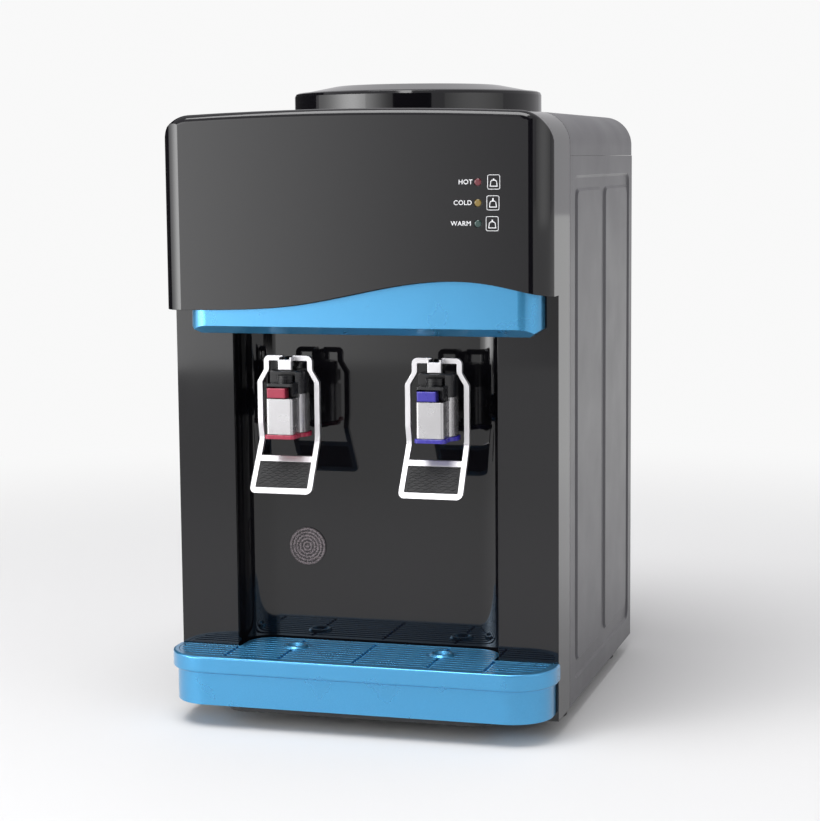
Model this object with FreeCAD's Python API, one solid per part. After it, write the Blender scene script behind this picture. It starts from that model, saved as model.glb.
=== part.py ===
"""Countertop water dispenser with a hot tap and a cold tap.

Millimetres, +Z up.  The front faces -Y and +X is the right-hand side seen from the front.
The origin is on the table, under the middle of the overall box.
Lengths along Y are given as depths behind the front face of the pillars (negative is in front).
"""
import FreeCAD, Part
import math
import os

V = FreeCAD.Vector
HALF_SQRT2 = math.sqrt(0.5)

# ---------------------------------------------------------------- clearances
gap = 0.3                # between separate pieces that don't fit into each other
run_fit = 0.05           # radial running fit on pins and stems
seam_gap = 0.8           # shadow gap between the mouldings of the cabinet

# ---------------------------------------------------------------- cabinet
cabinet_w = 300.0        # outside width
cabinet_d = 302.0        # pillar face to rear edge
cabinet_top = 467.5      # crown of the top cover above the table
tray_proud = 44.6        # drip tray in front of the pillars
foot_h = 12.0            # underside of the cabinet above the table
crown = 3.0              # rise of the top from its shoulders to the middle
corner_w = 23.0          # top corner, across
corner_h = 25.0          # top corner, down
wall = 2.5               # moulded wall
sheet = 1.2              # steel sheet
seam_depth = 40.7        # seam between the front moulding and the sides
cover_h = 36.0           # top cover, seam to crown
rear_recess = 11.0       # rear panel in front of the rear edge

# ---------------------------------------------------------------- fascia and trim
fascia_proud = 29.0      # front of the fascia in front of the pillars
frame_proud = 15.0       # front moulding in front of the pillars, behind the fascia
fascia_side_r = 23.0     # rounded side edge of the fascia, across
fascia_top_r = 6.0       # rounded top edge of the fascia
fascia_drop = 136.8      # crown down to the fascia's right-hand lower corner
wave_left = -12.0        # wave heights against that corner: left end
wave_mid = 3.3           # wave, middle of its slope
wave_peak = 10.8         # wave, crest
trim_h = 24.2            # right-hand lower corner of the fascia down to the trim's bottom edge
trim_chamfer = 6.0       # height of the sloping underside of the trim
trim_slope_d = 9.0       # depth of that slope
trim_proud = 20.0        # front of the trim in front of the pillars
trim_left = 134.0        # left end of the trim from the middle
trim_right = 140.0       # right end of the trim from the middle
trim_end_r = 16.0        # rounded ends of the trim
light_r = 2.6            # status lights
light_x = 97.0
light_pitch = 14.9
light_reach = 8.0        # lens, front to back
top_light_drop = 54.0    # crown down to the first light

# ---------------------------------------------------------------- alcove
pillar_w = 46.0          # width of each pillar
alcove_d = 35.0          # depth of the alcove's back wall
alcove_r = 22.0          # rounded rear corners
label_r = 15.0           # round label on the back wall
label_x = -58.0
label_z = 130.0

# ---------------------------------------------------------------- drip tray
tray_floor_z = 18.3      # underside of the tray
tray_lip_z = 43.3        # underside of the lip
tray_top_z = 56.5        # top of the lip
tray_lip = 3.5           # lip in front of the basin
tray_corner_r = 34.0     # front corners of the lip
tray_over = 1.5          # lip beyond the cabinet's side
tray_wall = 2.4
shelf_inset = 14.0       # tray shelf of the base, behind the tray's front
shelf_r = 12.0
tongue_gap = 3.0         # between the tray's tongue and the alcove
tongue_r = 20.0          # rear corners of the tongue
grille_t = 3.5           # bars
grille_rib = 3.5         # ribs below the bars
bar_w = 3.6
bar_pitch = 6.5
groove_w = 2.4           # dark grooves over the ribs
groove_depth = 2.0
outer_rib_x = 102.0
splash_r = 9.5           # raised ring under each tap
splash_h = 1.6
splash_y = 5.0

# ---------------------------------------------------------------- bottle seat
seat_y = 158.0           # middle of the bottle seat behind the pillars
collar_r = 100.0
collar_h = 16.1          # collar above the crown
collar_wall = 3.0
collar_round = 3.0
flange_w = 10.0          # hidden flange under the cover
flange_low = 9.5         # crown down to the underside of the flange
flange_t = 3.0
leg_circle = 90.0        # legs that hold the cold tank's lid, from the middle
funnel_ridge_r = 65.0
funnel_rise = 21.5       # ridge above the crown
neck_r = 31.0            # inside of the neck sleeve
neck_drop = 38.0         # underside of the neck below the crown
spike_r = 11.0
spike_top = 2.0          # top of the feed spike above the crown

# ---------------------------------------------------------------- taps
tap_x = 58.5             # each tap from the middle
tap_drop = 48.0          # lower edge of the trim's slope down to the button's window
nose_w = 21.0
nose_proud = 25.0        # nose plate in front of the tap's axis
barrel_r = 15.0
shell_wall = 1.6
shell_h = 26.8
skirt_h = 3.0
skirt_proud = 1.6
window_h = 10.0
housing_h = 10.0         # bonnet housing above the window
bonnet_r = 7.4
button_w = 14.5
button_h = 7.5
button_travel = 4.5
spout_r = 7.0
spout_drop = 4.0
lever_w = 49.4           # paddle
lever_top_w = 38.6
lever_bar = 4.0
lever_t = 3.6
lever_h = 102.5          # top bar down to the bottom of the paddle
lever_kick = 25.0        # bottom of the paddle in front of the tap's axis
lever_waist = -0.5       # waist behind the tap's axis
lever_shoulder = 11.0    # top bar down to the start of the shoulders
pad_h = 22.5             # bottom of the paddle up to its cross bar
lever_y = -2.0           # straight part of the lever
pivot_r = 1.6
pivot_half = 3.8         # half width of the pivot block
tab_half = 5.3           # half width of the lever's front tab
stem_r = 2.5
stem_head_r = 5.2
spring_wire = 0.8
spring_r = 4.3
spring_turns = 4
spring_sides = 8         # flats of the wire's section
spigot_r = 6.0
spigot_bore = 2.6
barb_r = 4.0
nut_af = 24.0            # across the flats
nut_t = 8.0
gasket_t = 2.0
hose_wall = 2.0
hose_grip = 13.0         # straight end of a hose over its barb

# ---------------------------------------------------------------- inside
base_t = 3.6
foot_r = 11.0
foot_x = 133.0
front_foot_y = 62.0
rear_foot_y = 256.0
cold_r = 72.0            # cold tank, outside
cold_h = 110.0
tank_wall = 1.0
foam_t = 16.0
lid_t = 5.0
hot_r = 43.0
hot_h = 130.0
hot_y = 178.0
hot_stand = 52.0         # bottom of the hot tank above the base plate
jacket_t = 14.0
heater_t = 2.5
heater_h = 40.0
block_w = 44.0
module_w = 40.0
module_t = 4.0
sink_w = 90.0
sink_base = 4.0
sink_fin = 16.0
fin_count = 15
fan_w = 80.0
fan_t = 14.0
fan_blades = 7
switch_w = 21.0
switch_h = 15.0
rocker_pin_r = 1.2
rocker_pin = 1.2         # pin beyond the rocker's side
gland_r = 5.5
drain_r = 6.0

# ---------------------------------------------------------------- derived
overall_d = cabinet_d + tray_proud
pillar_y = tray_proud - overall_d / 2
rear_y = pillar_y + cabinet_d
half_w = cabinet_w / 2
shoulder_z = cabinet_top - crown
cover_z = cabinet_top - cover_h
seam_y = pillar_y + seam_depth
alcove_x = half_w - pillar_w
alcove_y = pillar_y + alcove_d
wave_z = cabinet_top - fascia_drop
trim_z = wave_z - trim_h
slope_z = trim_z - trim_chamfer
rear_panel_y = rear_y - rear_recess
seat_pos = V(0, pillar_y + seat_y, 0)
window_z = slope_z - tap_drop
shell_z = window_z - shell_h
pivot_z = window_z + window_h + housing_h + 4.5
pivot_y = pillar_y + lever_y
lever_top = pivot_z + 6.5
lever_base = lever_top - lever_h
floor_z = foot_h + base_t
tray_front = -overall_d / 2
tray_rear = pillar_y - seam_gap
tongue_x = alcove_x - tongue_gap
tongue_y = alcove_y - tongue_gap - 1.0
grille_z = tray_top_z - 0.1
cold_top = cabinet_top - 47.5
cold_z = cold_top - cold_h
hot_z = floor_z + hot_stand
hot_pos = V(0, pillar_y + hot_y, 0)
spigot_z = window_z - shell_h / 2


# ---------------------------------------------------------------- helpers
def box(x0, x1, y0, y1, z0, z1):
    """Box between two values on each axis."""
    return Part.makeBox(x1 - x0, y1 - y0, z1 - z0, V(x0, y0, z0))


def rod(radius, start, end):
    """Round bar between two points."""
    axis = end - start
    return Part.makeCylinder(radius, axis.Length, start, axis)


def tube(outer, inner, start, end):
    """Round tube between two points."""
    reach = (end - start).normalize() * 1.0
    return rod(outer, start, end).cut(rod(inner, start - reach, end + reach))


def fuse(shapes):
    """One clean solid from shapes that touch or overlap."""
    result = shapes[0]
    if len(shapes) > 1:
        result = shapes[0].multiFuse(shapes[1:])
    return result.removeSplitter()


def mirror_x(shape):
    """Copy on the other side of the middle plane."""
    return shape.mirror(V(0, 0, 0), V(1, 0, 0))


def round_outline(points):
    """Closed wire through (u, v, radius) corners in the XY plane."""
    corners = []
    count = len(points)
    for i in range(count):
        u, v, radius = points[i]
        here = V(u, v, 0)
        before = V(points[i - 1][0], points[i - 1][1], 0) - here
        after = V(points[(i + 1) % count][0], points[(i + 1) % count][1], 0) - here
        if radius <= 0:
            corners.append((here, None, here))
            continue
        angle = before.getAngle(after)
        reach = radius / math.tan(angle / 2)
        start = here + before.normalize() * reach
        end = here + after.normalize() * reach
        inward = (before + after).normalize()
        middle = here + inward * (radius / math.sin(angle / 2) - radius)
        corners.append((start, middle, end))
    edges = []
    for i in range(count):
        start, middle, end = corners[i]
        if middle is not None:
            edges.append(Part.Arc(start, middle, end).toShape())
        following = corners[(i + 1) % count][0]
        if (following - end).Length > 1e-6:
            edges.append(Part.makeLine(end, following))
    return Part.Wire(Part.__sortEdges__(edges))


def plan_prism(points, z0, z1):
    """Prism over an outline of (x, y, radius)."""
    face = Part.Face(round_outline(points))
    face.translate(V(0, 0, z0))
    return face.extrude(V(0, 0, z1 - z0))


def front_prism(points, y0, y1):
    """Prism over an outline of (x, z, radius), along Y."""
    face = Part.Face(round_outline(points))
    face.rotate(V(0, 0, 0), V(1, 0, 0), 90)
    face.translate(V(0, y0, 0))
    return face.extrude(V(0, y1 - y0, 0))


def side_prism(points, x0, x1):
    """Prism over an outline of (y, z, radius), along X."""
    face = Part.Face(round_outline(points))
    face.rotate(V(0, 0, 0), V(1, 1, 1), 120)
    face.translate(V(x0, 0, 0))
    return face.extrude(V(x1 - x0, 0, 0))


def rect(u0, u1, v0, v1, radius):
    """Corners of a rectangle with one radius."""
    return [(u0, v0, radius), (u1, v0, radius), (u1, v1, radius), (u0, v1, radius)]


def turned(profile, centre):
    """Solid of revolution about a vertical axis, from (radius, height) corners."""
    points = [V(r, 0, z) for r, z in profile]
    face = Part.Face(Part.makePolygon(points + [points[0]]))
    solid = face.revolve(V(0, 0, 0), V(0, 0, 1), 360)
    solid.translate(centre)
    return solid


def rounded_edges(shape, radius, wanted):
    """Fillet the edges for which wanted(edge) is true."""
    edges = [edge for edge in shape.Edges if wanted(edge)]
    return shape.makeFillet(radius, edges)


def hose(start, start_way, end, end_way, via, outer, inner):
    """Flexible tube that leaves both ends straight and bends smoothly through the via points."""
    bend_start = start + start_way * hose_grip
    bend_end = end + end_way * hose_grip
    curve = Part.BSplineCurve()
    curve.interpolate(Points=[bend_start] + via + [bend_end], InitialTangent=start_way, FinalTangent=end_way * -1)
    edges = [Part.makeLine(start, bend_start), curve.toShape(), Part.makeLine(bend_end, end)]
    path = Part.Wire(edges)
    solids = []
    for radius in (outer, inner):
        ring = Part.Wire([Part.Circle(start, start_way, radius).toShape()])
        solids.append(path.makePipeShell([ring], True, True))
    return solids[0].cut(solids[1])


def save(name, shape):
    """Write one node."""
    shape.exportStep("parts/%s.step" % name)


# ---------------------------------------------------------------- cabinet outline
def arch(inset, low_z, y0, y1):
    """Cabinet cross-section with its crowned top, shrunk by inset, as a prism along Y."""
    side = half_w - inset
    centre_x = half_w - corner_w
    centre_z = shoulder_z - corner_h
    rise = corner_h - inset
    run = corner_w - inset
    low_left = V(-side, y0, low_z)
    low_right = V(side, y0, low_z)
    right = V(side, y0, centre_z)
    right_mid = V(centre_x + run * HALF_SQRT2, y0, centre_z + rise * HALF_SQRT2)
    right_top = V(centre_x, y0, centre_z + rise)
    top = V(0, y0, cabinet_top - inset)
    left_top = V(-centre_x, y0, right_top.z)
    left_mid = V(-right_mid.x, y0, right_mid.z)
    left = V(-side, y0, centre_z)
    edges = [
        Part.makeLine(low_left, low_right),
        Part.makeLine(low_right, right),
        Part.Arc(right, right_mid, right_top).toShape(),
        Part.Arc(right_top, top, left_top).toShape(),
        Part.Arc(left_top, left_mid, left).toShape(),
        Part.makeLine(left, low_left),
    ]
    return Part.Face(Part.Wire(edges)).extrude(V(0, y1 - y0, 0))


def below_wave(offset, y0, y1):
    """Everything under the wave along the bottom of the fascia, raised by offset."""
    beyond = half_w + 20.0
    bottom = foot_h - 20.0
    crest_x = 0.47 * half_w
    slope_x = 0.09 * half_w
    base = wave_z + offset
    points = [
        V(-beyond, y0, base + wave_left - 0.4),
        V(-0.72 * half_w, y0, base + wave_left + 0.2),
        V(-0.3 * half_w, y0, base + wave_left + 4.2),
        V(slope_x, y0, base + wave_mid),
        V(crest_x, y0, base + wave_peak),
        V(0.72 * half_w, y0, base + 0.75 * wave_peak),
        V(half_w, y0, base),
        V(beyond, y0, base - 0.3),
    ]
    curve = Part.BSplineCurve()
    curve.interpolate(points)
    corner_left = V(-beyond, y0, bottom)
    corner_right = V(beyond, y0, bottom)
    edges = [
        curve.toShape(),
        Part.makeLine(points[-1], corner_right),
        Part.makeLine(corner_right, corner_left),
        Part.makeLine(corner_left, points[0]),
    ]
    return Part.Face(Part.Wire(edges)).extrude(V(0, y1 - y0, 0))


# ---------------------------------------------------------------- front of the cabinet
def front_frame():
    """Pillars, top arch and the header behind the fascia, open at the rear."""
    rear = seam_y - seam_gap / 2
    step_y = pillar_y - frame_proud + gap
    body = arch(0, foot_h, pillar_y, rear)
    brow = arch(0, slope_z, step_y, pillar_y + wall)
    brow = brow.cut(below_wave(0, step_y - 1, pillar_y))
    brow = brow.cut(box(-alcove_x, alcove_x, step_y - 1, pillar_y + wall + 1, slope_z - 1, slope_z))
    hollow = arch(wall, foot_h - 1, pillar_y + wall, rear + 1)
    behind = arch(wall, wave_z + wave_peak + wall, step_y - 1, pillar_y + wall + 1)
    opening = box(-alcove_x, alcove_x, pillar_y - 1, pillar_y + wall + 1, foot_h - 1, slope_z)
    frame = fuse([body, brow]).cut(hollow).cut(behind).cut(opening)
    return frame.cut(collar_room()).removeSplitter()


def collar_room():
    """Space of the bottle collar and its flange, with the gap around them."""
    low = seat_pos + V(0, 0, cabinet_top - flange_low - gap)
    step = low + V(0, 0, flange_t + 2 * gap)
    flange = rod(collar_r + flange_w + gap, low, step)
    sleeve = rod(collar_r + gap, low, low + V(0, 0, flange_low + collar_h))
    return fuse([flange, sleeve])


def fascia():
    """Glossy front shell with a rounded rim and the waved bottom edge."""
    front = pillar_y - fascia_proud
    back = pillar_y - frame_proud
    depth = back - front
    block = arch(0, slope_z, front, back).cut(below_wave(gap, front - 1, back + 1))
    outline = plan_prism_ellipse(half_w, fascia_side_r, front, back, depth)
    block = block.common(outline)
    rim = [e for e in block.Edges if abs(e.BoundBox.YMax - front) < 0.01 and e.BoundBox.ZMin > shoulder_z - 1]
    block = block.makeFillet(fascia_top_r, rim)
    core = arch(wall, slope_z, front + wall, back + 1)
    core = core.cut(below_wave(wall + gap, front - 1, back + 2))
    core = core.common(plan_prism_ellipse(half_w - wall, fascia_side_r, front + wall, back + 1, depth))
    posts = [rod(2.0, V(x, front + wall - 0.5, z), V(x, board_front() - gap / 3, z)) for x, z in light_posts()]
    shell = fuse([block.cut(core)] + posts)
    for z in light_heights():
        shell = shell.cut(rod(light_r + gap, V(light_x, front - 1, z), V(light_x, front + wall + 1, z)))
    return shell


def plan_prism_ellipse(half, side_r, front, back, depth):
    """Tall block whose two front edges are quarter ellipses seen from above."""
    flat = half - side_r
    bulge_y = front + depth * (1 - HALF_SQRT2)
    bulge_x = flat + side_r * HALF_SQRT2
    low = foot_h - 10
    edges = [
        Part.makeLine(V(-flat, front, low), V(flat, front, low)),
        Part.Arc(V(flat, front, low), V(bulge_x, bulge_y, low), V(half, front + depth, low)).toShape(),
    ]
    right_end = V(half, front + depth, low)
    left_end = V(-half, front + depth, low)
    if back - front - depth > 1e-6:
        edges.append(Part.makeLine(right_end, V(half, back, low)))
        right_end = V(half, back, low)
        edges.append(Part.makeLine(right_end, V(-half, back, low)))
        edges.append(Part.makeLine(V(-half, back, low), left_end))
    else:
        edges.append(Part.makeLine(right_end, left_end))
    edges.append(Part.Arc(left_end, V(-bulge_x, bulge_y, low), V(-flat, front, low)).toShape())
    return Part.Face(Part.Wire(edges)).extrude(V(0, 0, cabinet_top + 20 - low))


def light_heights():
    """Heights of the hot, cold and warm lights."""
    return [cabinet_top - top_light_drop - i * light_pitch for i in range(3)]


def board_front():
    """Front face of the circuit board behind the lights."""
    return pillar_y - fascia_proud + light_reach + gap


def light_posts():
    """Posts of the fascia that carry the circuit board."""
    heights = light_heights()
    return [(light_x + dx, z) for dx in (-9, 9) for z in (heights[0] + 6, heights[2] - 6)]


def status_light(z):
    """Domed lens of one light, with its body behind the fascia."""
    front = pillar_y - fascia_proud
    lens = rod(light_r, V(light_x, front - 0.4, z), V(light_x, front + light_reach, z))
    rim = rod(light_r + 0.8, V(light_x, front + wall + gap, z), V(light_x, front + wall + 1.6, z))
    lens = rounded_edges(lens, 0.8, lambda e: e.BoundBox.YMax < front)
    return fuse([lens, rim])


def light_board():
    """Circuit board behind the three lights, with its connector."""
    heights = light_heights()
    board_y = board_front()
    board = box(light_x - 12, light_x + 12, board_y, board_y + 1.6, heights[2] - 10, heights[0] + 10)
    plug = box(light_x - 6, light_x + 6, board_y + 1.6, board_y + 7.0, heights[1] - 4, heights[1] + 4)
    return fuse([board, plug])


def wave_trim():
    """Metallic band under the wave, with round ends and a sloping underside."""
    front = pillar_y - trim_proud
    rear = pillar_y - gap
    plan = [(-trim_left, front, trim_end_r), (trim_right, front, trim_end_r),
            (trim_right, rear, 0), (-trim_left, rear, 0)]
    band = plan_prism(plan, slope_z, wave_z + wave_peak + 10)
    band = band.common(below_wave(-gap, front - 1, rear + 1))
    slope = [(front - 5, slope_z - 1, 0), (front + trim_slope_d, slope_z - 0.001, 0),
             (front, trim_z, 0), (front - 5, trim_z, 0)]
    wedge = side_prism(slope, -half_w, half_w)
    ends = []
    for side, reach in ((1, trim_right), (-1, trim_left)):
        end = [(side * reach, trim_z, 0), (side * (reach - trim_slope_d), slope_z - 0.001, 0),
               (side * (reach + 5), slope_z - 1, 0), (side * (reach + 5), trim_z, 0)]
        ends.append(front_prism(end, front - 1, rear + 1))
    for cutter in [wedge] + ends:
        band = band.cut(cutter)
    return band.removeSplitter()


def alcove_liner():
    """Back, sides and ceiling of the alcove, with the two tap holes."""
    front = pillar_y + wall + gap
    top = slope_z + wall
    outer = [(-alcove_x - wall, front, 0), (alcove_x + wall, front, 0),
             (alcove_x + wall, alcove_y + wall, alcove_r + wall),
             (-alcove_x - wall, alcove_y + wall, alcove_r + wall)]
    inner = [(-alcove_x, front - 1, 0), (alcove_x, front - 1, 0),
             (alcove_x, alcove_y, alcove_r), (-alcove_x, alcove_y, alcove_r)]
    liner = plan_prism(outer, floor_z + gap, top)
    liner = liner.cut(plan_prism(inner, floor_z, slope_z))
    for side in (-1, 1):
        x = side * tap_x
        hole = rod(spigot_r + gap, V(x, alcove_y - 1, spigot_z), V(x, alcove_y + wall + 1, spigot_z))
        liner = liner.cut(hole)
    return liner


def round_label():
    """Thin round label on the alcove's back wall."""
    return rod(label_r, V(label_x, alcove_y - 0.8, label_z), V(label_x, alcove_y - gap, label_z))


# ---------------------------------------------------------------- cabinet shell
def side_panel():
    """Right-hand pressed steel side, with two raised fields inside a sunk one."""
    front = seam_y + seam_gap / 2
    top = cover_z - seam_gap / 2
    panel = box(half_w - sheet, half_w, front, rear_y, foot_h, top)
    lip = box(half_w - 12, half_w, front, front + sheet, floor_z + gap, top - 2)
    panel = fuse([panel, lip])
    sunk = [(front + 18, foot_h + 17), (rear_y - 13, top - 14)]
    panel = pressed(panel, sunk[0], sunk[1], 9.0, -1)
    middle = (sunk[0][0] + sunk[1][0]) / 2
    rib = 7.5
    low = (sunk[0][0] + 9, sunk[0][1] + 12)
    high = (sunk[1][0] - 9, sunk[1][1] - 10)
    panel = pressed(panel, low, (middle - rib, high[1]), 8.0, 1)
    panel = pressed(panel, (middle + rib, low[1]), high, 8.0, 1)
    return panel.removeSplitter()


def pressed(panel, low, high, radius, direction):
    """Press a field in (-1) or back out (+1) with sloping edges, keeping the sheet's thickness."""
    depth = 1.5
    slope = 2.0
    level = half_w if direction < 0 else half_w - depth
    reach = level + direction * depth

    def field(grow, near, far, x_near, x_far):
        wires = []
        for inset, x in ((near, x_near), (far, x_far)):
            shape = rect(low[0] + inset - grow, high[0] - inset + grow,
                         low[1] + inset - grow, high[1] - inset + grow, radius - inset + grow)
            wire = round_outline(shape)
            wire.rotate(V(0, 0, 0), V(1, 1, 1), 120)
            wire.translate(V(x, 0, 0))
            wires.append(wire)
        return Part.makeLoft(wires, True, True)

    front_face = field(0, 0, slope, level, reach)
    back_face = field(0, 0, slope, level - sheet, reach - sheet)
    if direction < 0:
        thick = field(sheet / 2, 0, slope, level - sheet, reach - sheet)
        return panel.fuse(thick).cut(front_face)
    return panel.fuse(front_face).cut(back_face)


def rear_panel():
    """Steel back with folded edges, vents and openings."""
    edge = half_w - sheet - 2.0
    top = cover_z - seam_gap
    plate = box(-edge, edge, rear_panel_y, rear_panel_y + sheet, floor_z + gap, top)
    for side in (-1, 1):
        x0, x1 = sorted((side * edge, side * (edge - sheet)))
        fold = box(x0, x1, rear_panel_y, rear_y - 1.0, floor_z + gap, top)
        plate = plate.fuse(fold)
    slots = []
    for row in range(9):
        z = cold_z + 12 + row * 9.5
        slots.append(front_prism(rect(-38, 38, z, z + 4.5, 2.2), rear_panel_y - 1, rear_panel_y + 2))
    for row in range(6):
        for side in (-1, 1):
            z = floor_z + 60 + row * 11
            x0, x1 = sorted((side * 62, side * 122))
            slots.append(front_prism(rect(x0, x1, z, z + 4.5, 2.2), rear_panel_y - 1, rear_panel_y + 2))
    for x in switch_places():
        z0 = switch_z() - switch_h / 2
        slots.append(box(x - switch_w / 2, x + switch_w / 2, rear_panel_y - 1, rear_panel_y + 2, z0, z0 + switch_h))
    holes = [(gland_x(), gland_z(), gland_r + gap), (0, drain_z(), drain_r + gap)]
    for x, z in screw_places():
        holes.append((x, z, 1.9))
    for x, z, radius in holes:
        slots.append(rod(radius, V(x, rear_panel_y - 1, z), V(x, rear_panel_y + 2, z)))
    return plate.cut(Part.makeCompound(slots))


def screw_places():
    """Rear panel screws."""
    x = half_w - 14.0
    return [(side * x, z) for side in (-1, 1) for z in (floor_z + 16.0, (floor_z + cover_z) / 2, cover_z - 14.0)]


def rear_screws():
    """Pan-head screws of the rear panel, one solid each."""
    screws = []
    for x, z in screw_places():
        face = rear_panel_y + sheet
        head = rod(3.6, V(x, face + 0.05, z), V(x, face + 2.2, z))
        head = rounded_edges(head, 1.0, lambda e: e.BoundBox.YMin > rear_panel_y + sheet + 2.1)
        shank = rod(1.5, V(x, rear_panel_y - 8, z), V(x, face + 0.5, z))
        cross = box(x - 2.0, x + 2.0, face + 1.2, face + 3, z - 0.4, z + 0.4)
        cross = cross.fuse(box(x - 0.4, x + 0.4, face + 1.2, face + 3, z - 2.0, z + 2.0))
        screws.append(fuse([head, shank]).cut(cross))
    return Part.makeCompound(screws)


def top_cover():
    """Crowned lid of the cabinet, with the opening for the bottle collar."""
    front = seam_y + seam_gap / 2
    body = arch(0, cover_z + seam_gap / 2, front, rear_y)
    rim = [e for e in body.Edges if abs(e.BoundBox.YMin - rear_y) < 0.01 and e.BoundBox.ZMax > cover_z + 5]
    body = body.makeFillet(2.5, rim)
    body = body.cut(arch(wall, cover_z - 5, front - 1, rear_y - wall))
    hole = rod(collar_r + gap, seat_pos + V(0, 0, cover_z), seat_pos + V(0, 0, cabinet_top + 5))
    return body.cut(hole)


def base_plate():
    """Floor of the cabinet with its tray shelf, rim, hot tank stand and foot sockets."""
    edge = half_w - wall - 1.0
    front = pillar_y + wall + gap
    rear = rear_panel_y - gap
    plate = box(-edge, edge, front, rear, foot_h + gap, floor_z)
    shelf_x = alcove_x - gap
    shelf_plan = [(-shelf_x, tray_front + shelf_inset, shelf_r), (shelf_x, tray_front + shelf_inset, shelf_r),
                  (shelf_x, alcove_y - gap, alcove_r), (-shelf_x, alcove_y - gap, alcove_r)]
    shelf = plan_prism(shelf_plan, foot_h + gap, tray_floor_z - gap)
    stand = tube(hot_r - 3, hot_r - 6, hot_pos + V(0, 0, floor_z - 1), hot_pos + V(0, 0, hot_z - gap))
    stand = stand.cut(box(-8, 8, hot_pos.y - hot_r, hot_pos.y + hot_r, floor_z + 3, hot_z - 10))
    posts = []
    for x, y in board_posts():
        posts.append(rod(3.0, V(x, y, floor_z - 1), V(x, y, floor_z + 10.0)))
    rim = box(-edge, edge, front, rear, floor_z - 1, floor_z + 12)
    rim = rim.cut(box(-edge + wall, edge - wall, front - 1, rear + 1, floor_z - 2, floor_z + 13))
    rim = rim.cut(box(-edge - 1, edge + 1, front - 1, seam_y + 4, floor_z, floor_z + 13))
    plate = fuse([plate, shelf, stand, rim] + posts)
    for x, y in foot_places():
        plate = plate.cut(rod(3.2, V(x, y, foot_h - 1), V(x, y, floor_z + 1)))
    return plate


def foot_places():
    """Centres of the four feet."""
    return [(side * foot_x, pillar_y + y) for side in (-1, 1) for y in (front_foot_y, rear_foot_y)]


def rubber_feet():
    """Four rubber feet with press-in stems, one solid each."""
    feet = []
    for x, y in foot_places():
        profile = [(0, 0), (foot_r - 2, 0), (foot_r - 1, 1), (foot_r, foot_h - 2), (foot_r, foot_h),
                   (3.15, foot_h), (3.15, foot_h + 5), (0, foot_h + 5)]
        feet.append(turned(profile, V(x, y, 0)))
    return Part.makeCompound(feet)


# ---------------------------------------------------------------- drip tray
def tray_plan(shrink, z0, z1):
    """Tray outline: a wide front with round corners and a tongue into the alcove."""
    wide = half_w + tray_over - tray_lip - shrink
    front = tray_front + tray_lip + shrink
    corner = tray_corner_r - tray_lip - shrink
    wide_part = [(-wide, front, corner), (wide, front, corner), (wide, tray_rear - max(shrink, 0), 1.0),
                 (-wide, tray_rear - max(shrink, 0), 1.0)]
    inner = tongue_x - max(shrink, 0)
    tongue = [(-inner, tray_rear - 20, 0), (inner, tray_rear - 20, 0),
              (inner, tongue_y - max(shrink, 0), tongue_r - max(shrink, 0)),
              (-inner, tongue_y - max(shrink, 0), tongue_r - max(shrink, 0))]
    return fuse([plan_prism(wide_part, z0, z1), plan_prism(tongue, z0, z1)])


def drip_tray():
    """Open basin with a proud lip and a ledge for the grille."""
    basin = tray_plan(0, tray_floor_z, tray_lip_z + 1)
    lip = tray_plan(-tray_lip, tray_lip_z, tray_top_z)
    front_low = [e for e in lip.Edges if e.BoundBox.ZMax < tray_lip_z + 0.01 and e.BoundBox.YMax < tray_rear - 2]
    lip = lip.makeFillet(2.0, front_low)
    front_top = [e for e in lip.Edges if e.BoundBox.ZMin > tray_top_z - 0.01 and e.BoundBox.YMax < tray_rear - 2]
    lip = lip.makeFillet(1.6, front_top)
    solid = fuse([basin, lip])
    solid = solid.cut(tray_plan(tray_wall, tray_floor_z + tray_wall, tray_top_z + 1))
    ledge_z = grille_z - grille_t - gap
    solid = solid.cut(tray_plan(0.9, ledge_z, tray_top_z + 1))
    return solid.removeSplitter()


def drip_grille():
    """Lift-out grille: long bars over cross ribs, with a raised ring under each tap."""
    top = grille_z
    low = top - grille_t
    edge = 0.9 + gap
    plate = tray_plan(edge, low, top)
    inside = tray_plan(edge + 2.2, low - 1, top + 1)
    slots = []
    front = tray_front + tray_lip + edge + 2.2
    y = front
    while y < tongue_y - edge - 2.2:
        slots.append(box(-half_w - 5, half_w + 5, y, y + bar_pitch - bar_w, low - 1, top + 1))
        y += bar_pitch
    plate = plate.cut(Part.makeCompound(slots).common(inside))
    ribs = []
    grooves = []
    for x in (-outer_rib_x, -tap_x, 0, tap_x, outer_rib_x):
        rear = tongue_y if abs(x) < tongue_x - tongue_r else tray_rear
        rear = rear - tray_wall - 2.0
        ribs.append(box(x - 1.5, x + 1.5, front - 1, rear, low - grille_rib, low + 1.2))
        grooves.append(box(x - groove_w / 2, x + groove_w / 2, front + 0.5, rear, top - groove_depth, top + 1))
    plate = fuse([plate] + ribs).cut(Part.makeCompound(grooves))
    rings = []
    for x in (-tap_x, tap_x):
        centre = V(x, pillar_y + splash_y, 0)
        profile = [(0, low), (splash_r, low), (splash_r, top), (splash_r - 1.2, top + splash_h),
                   (splash_r - 3.0, top + splash_h), (splash_r - 4.5, top - 0.8), (0, top - 0.8)]
        rings.append(turned(profile, centre))
    return fuse([plate] + rings)


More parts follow.
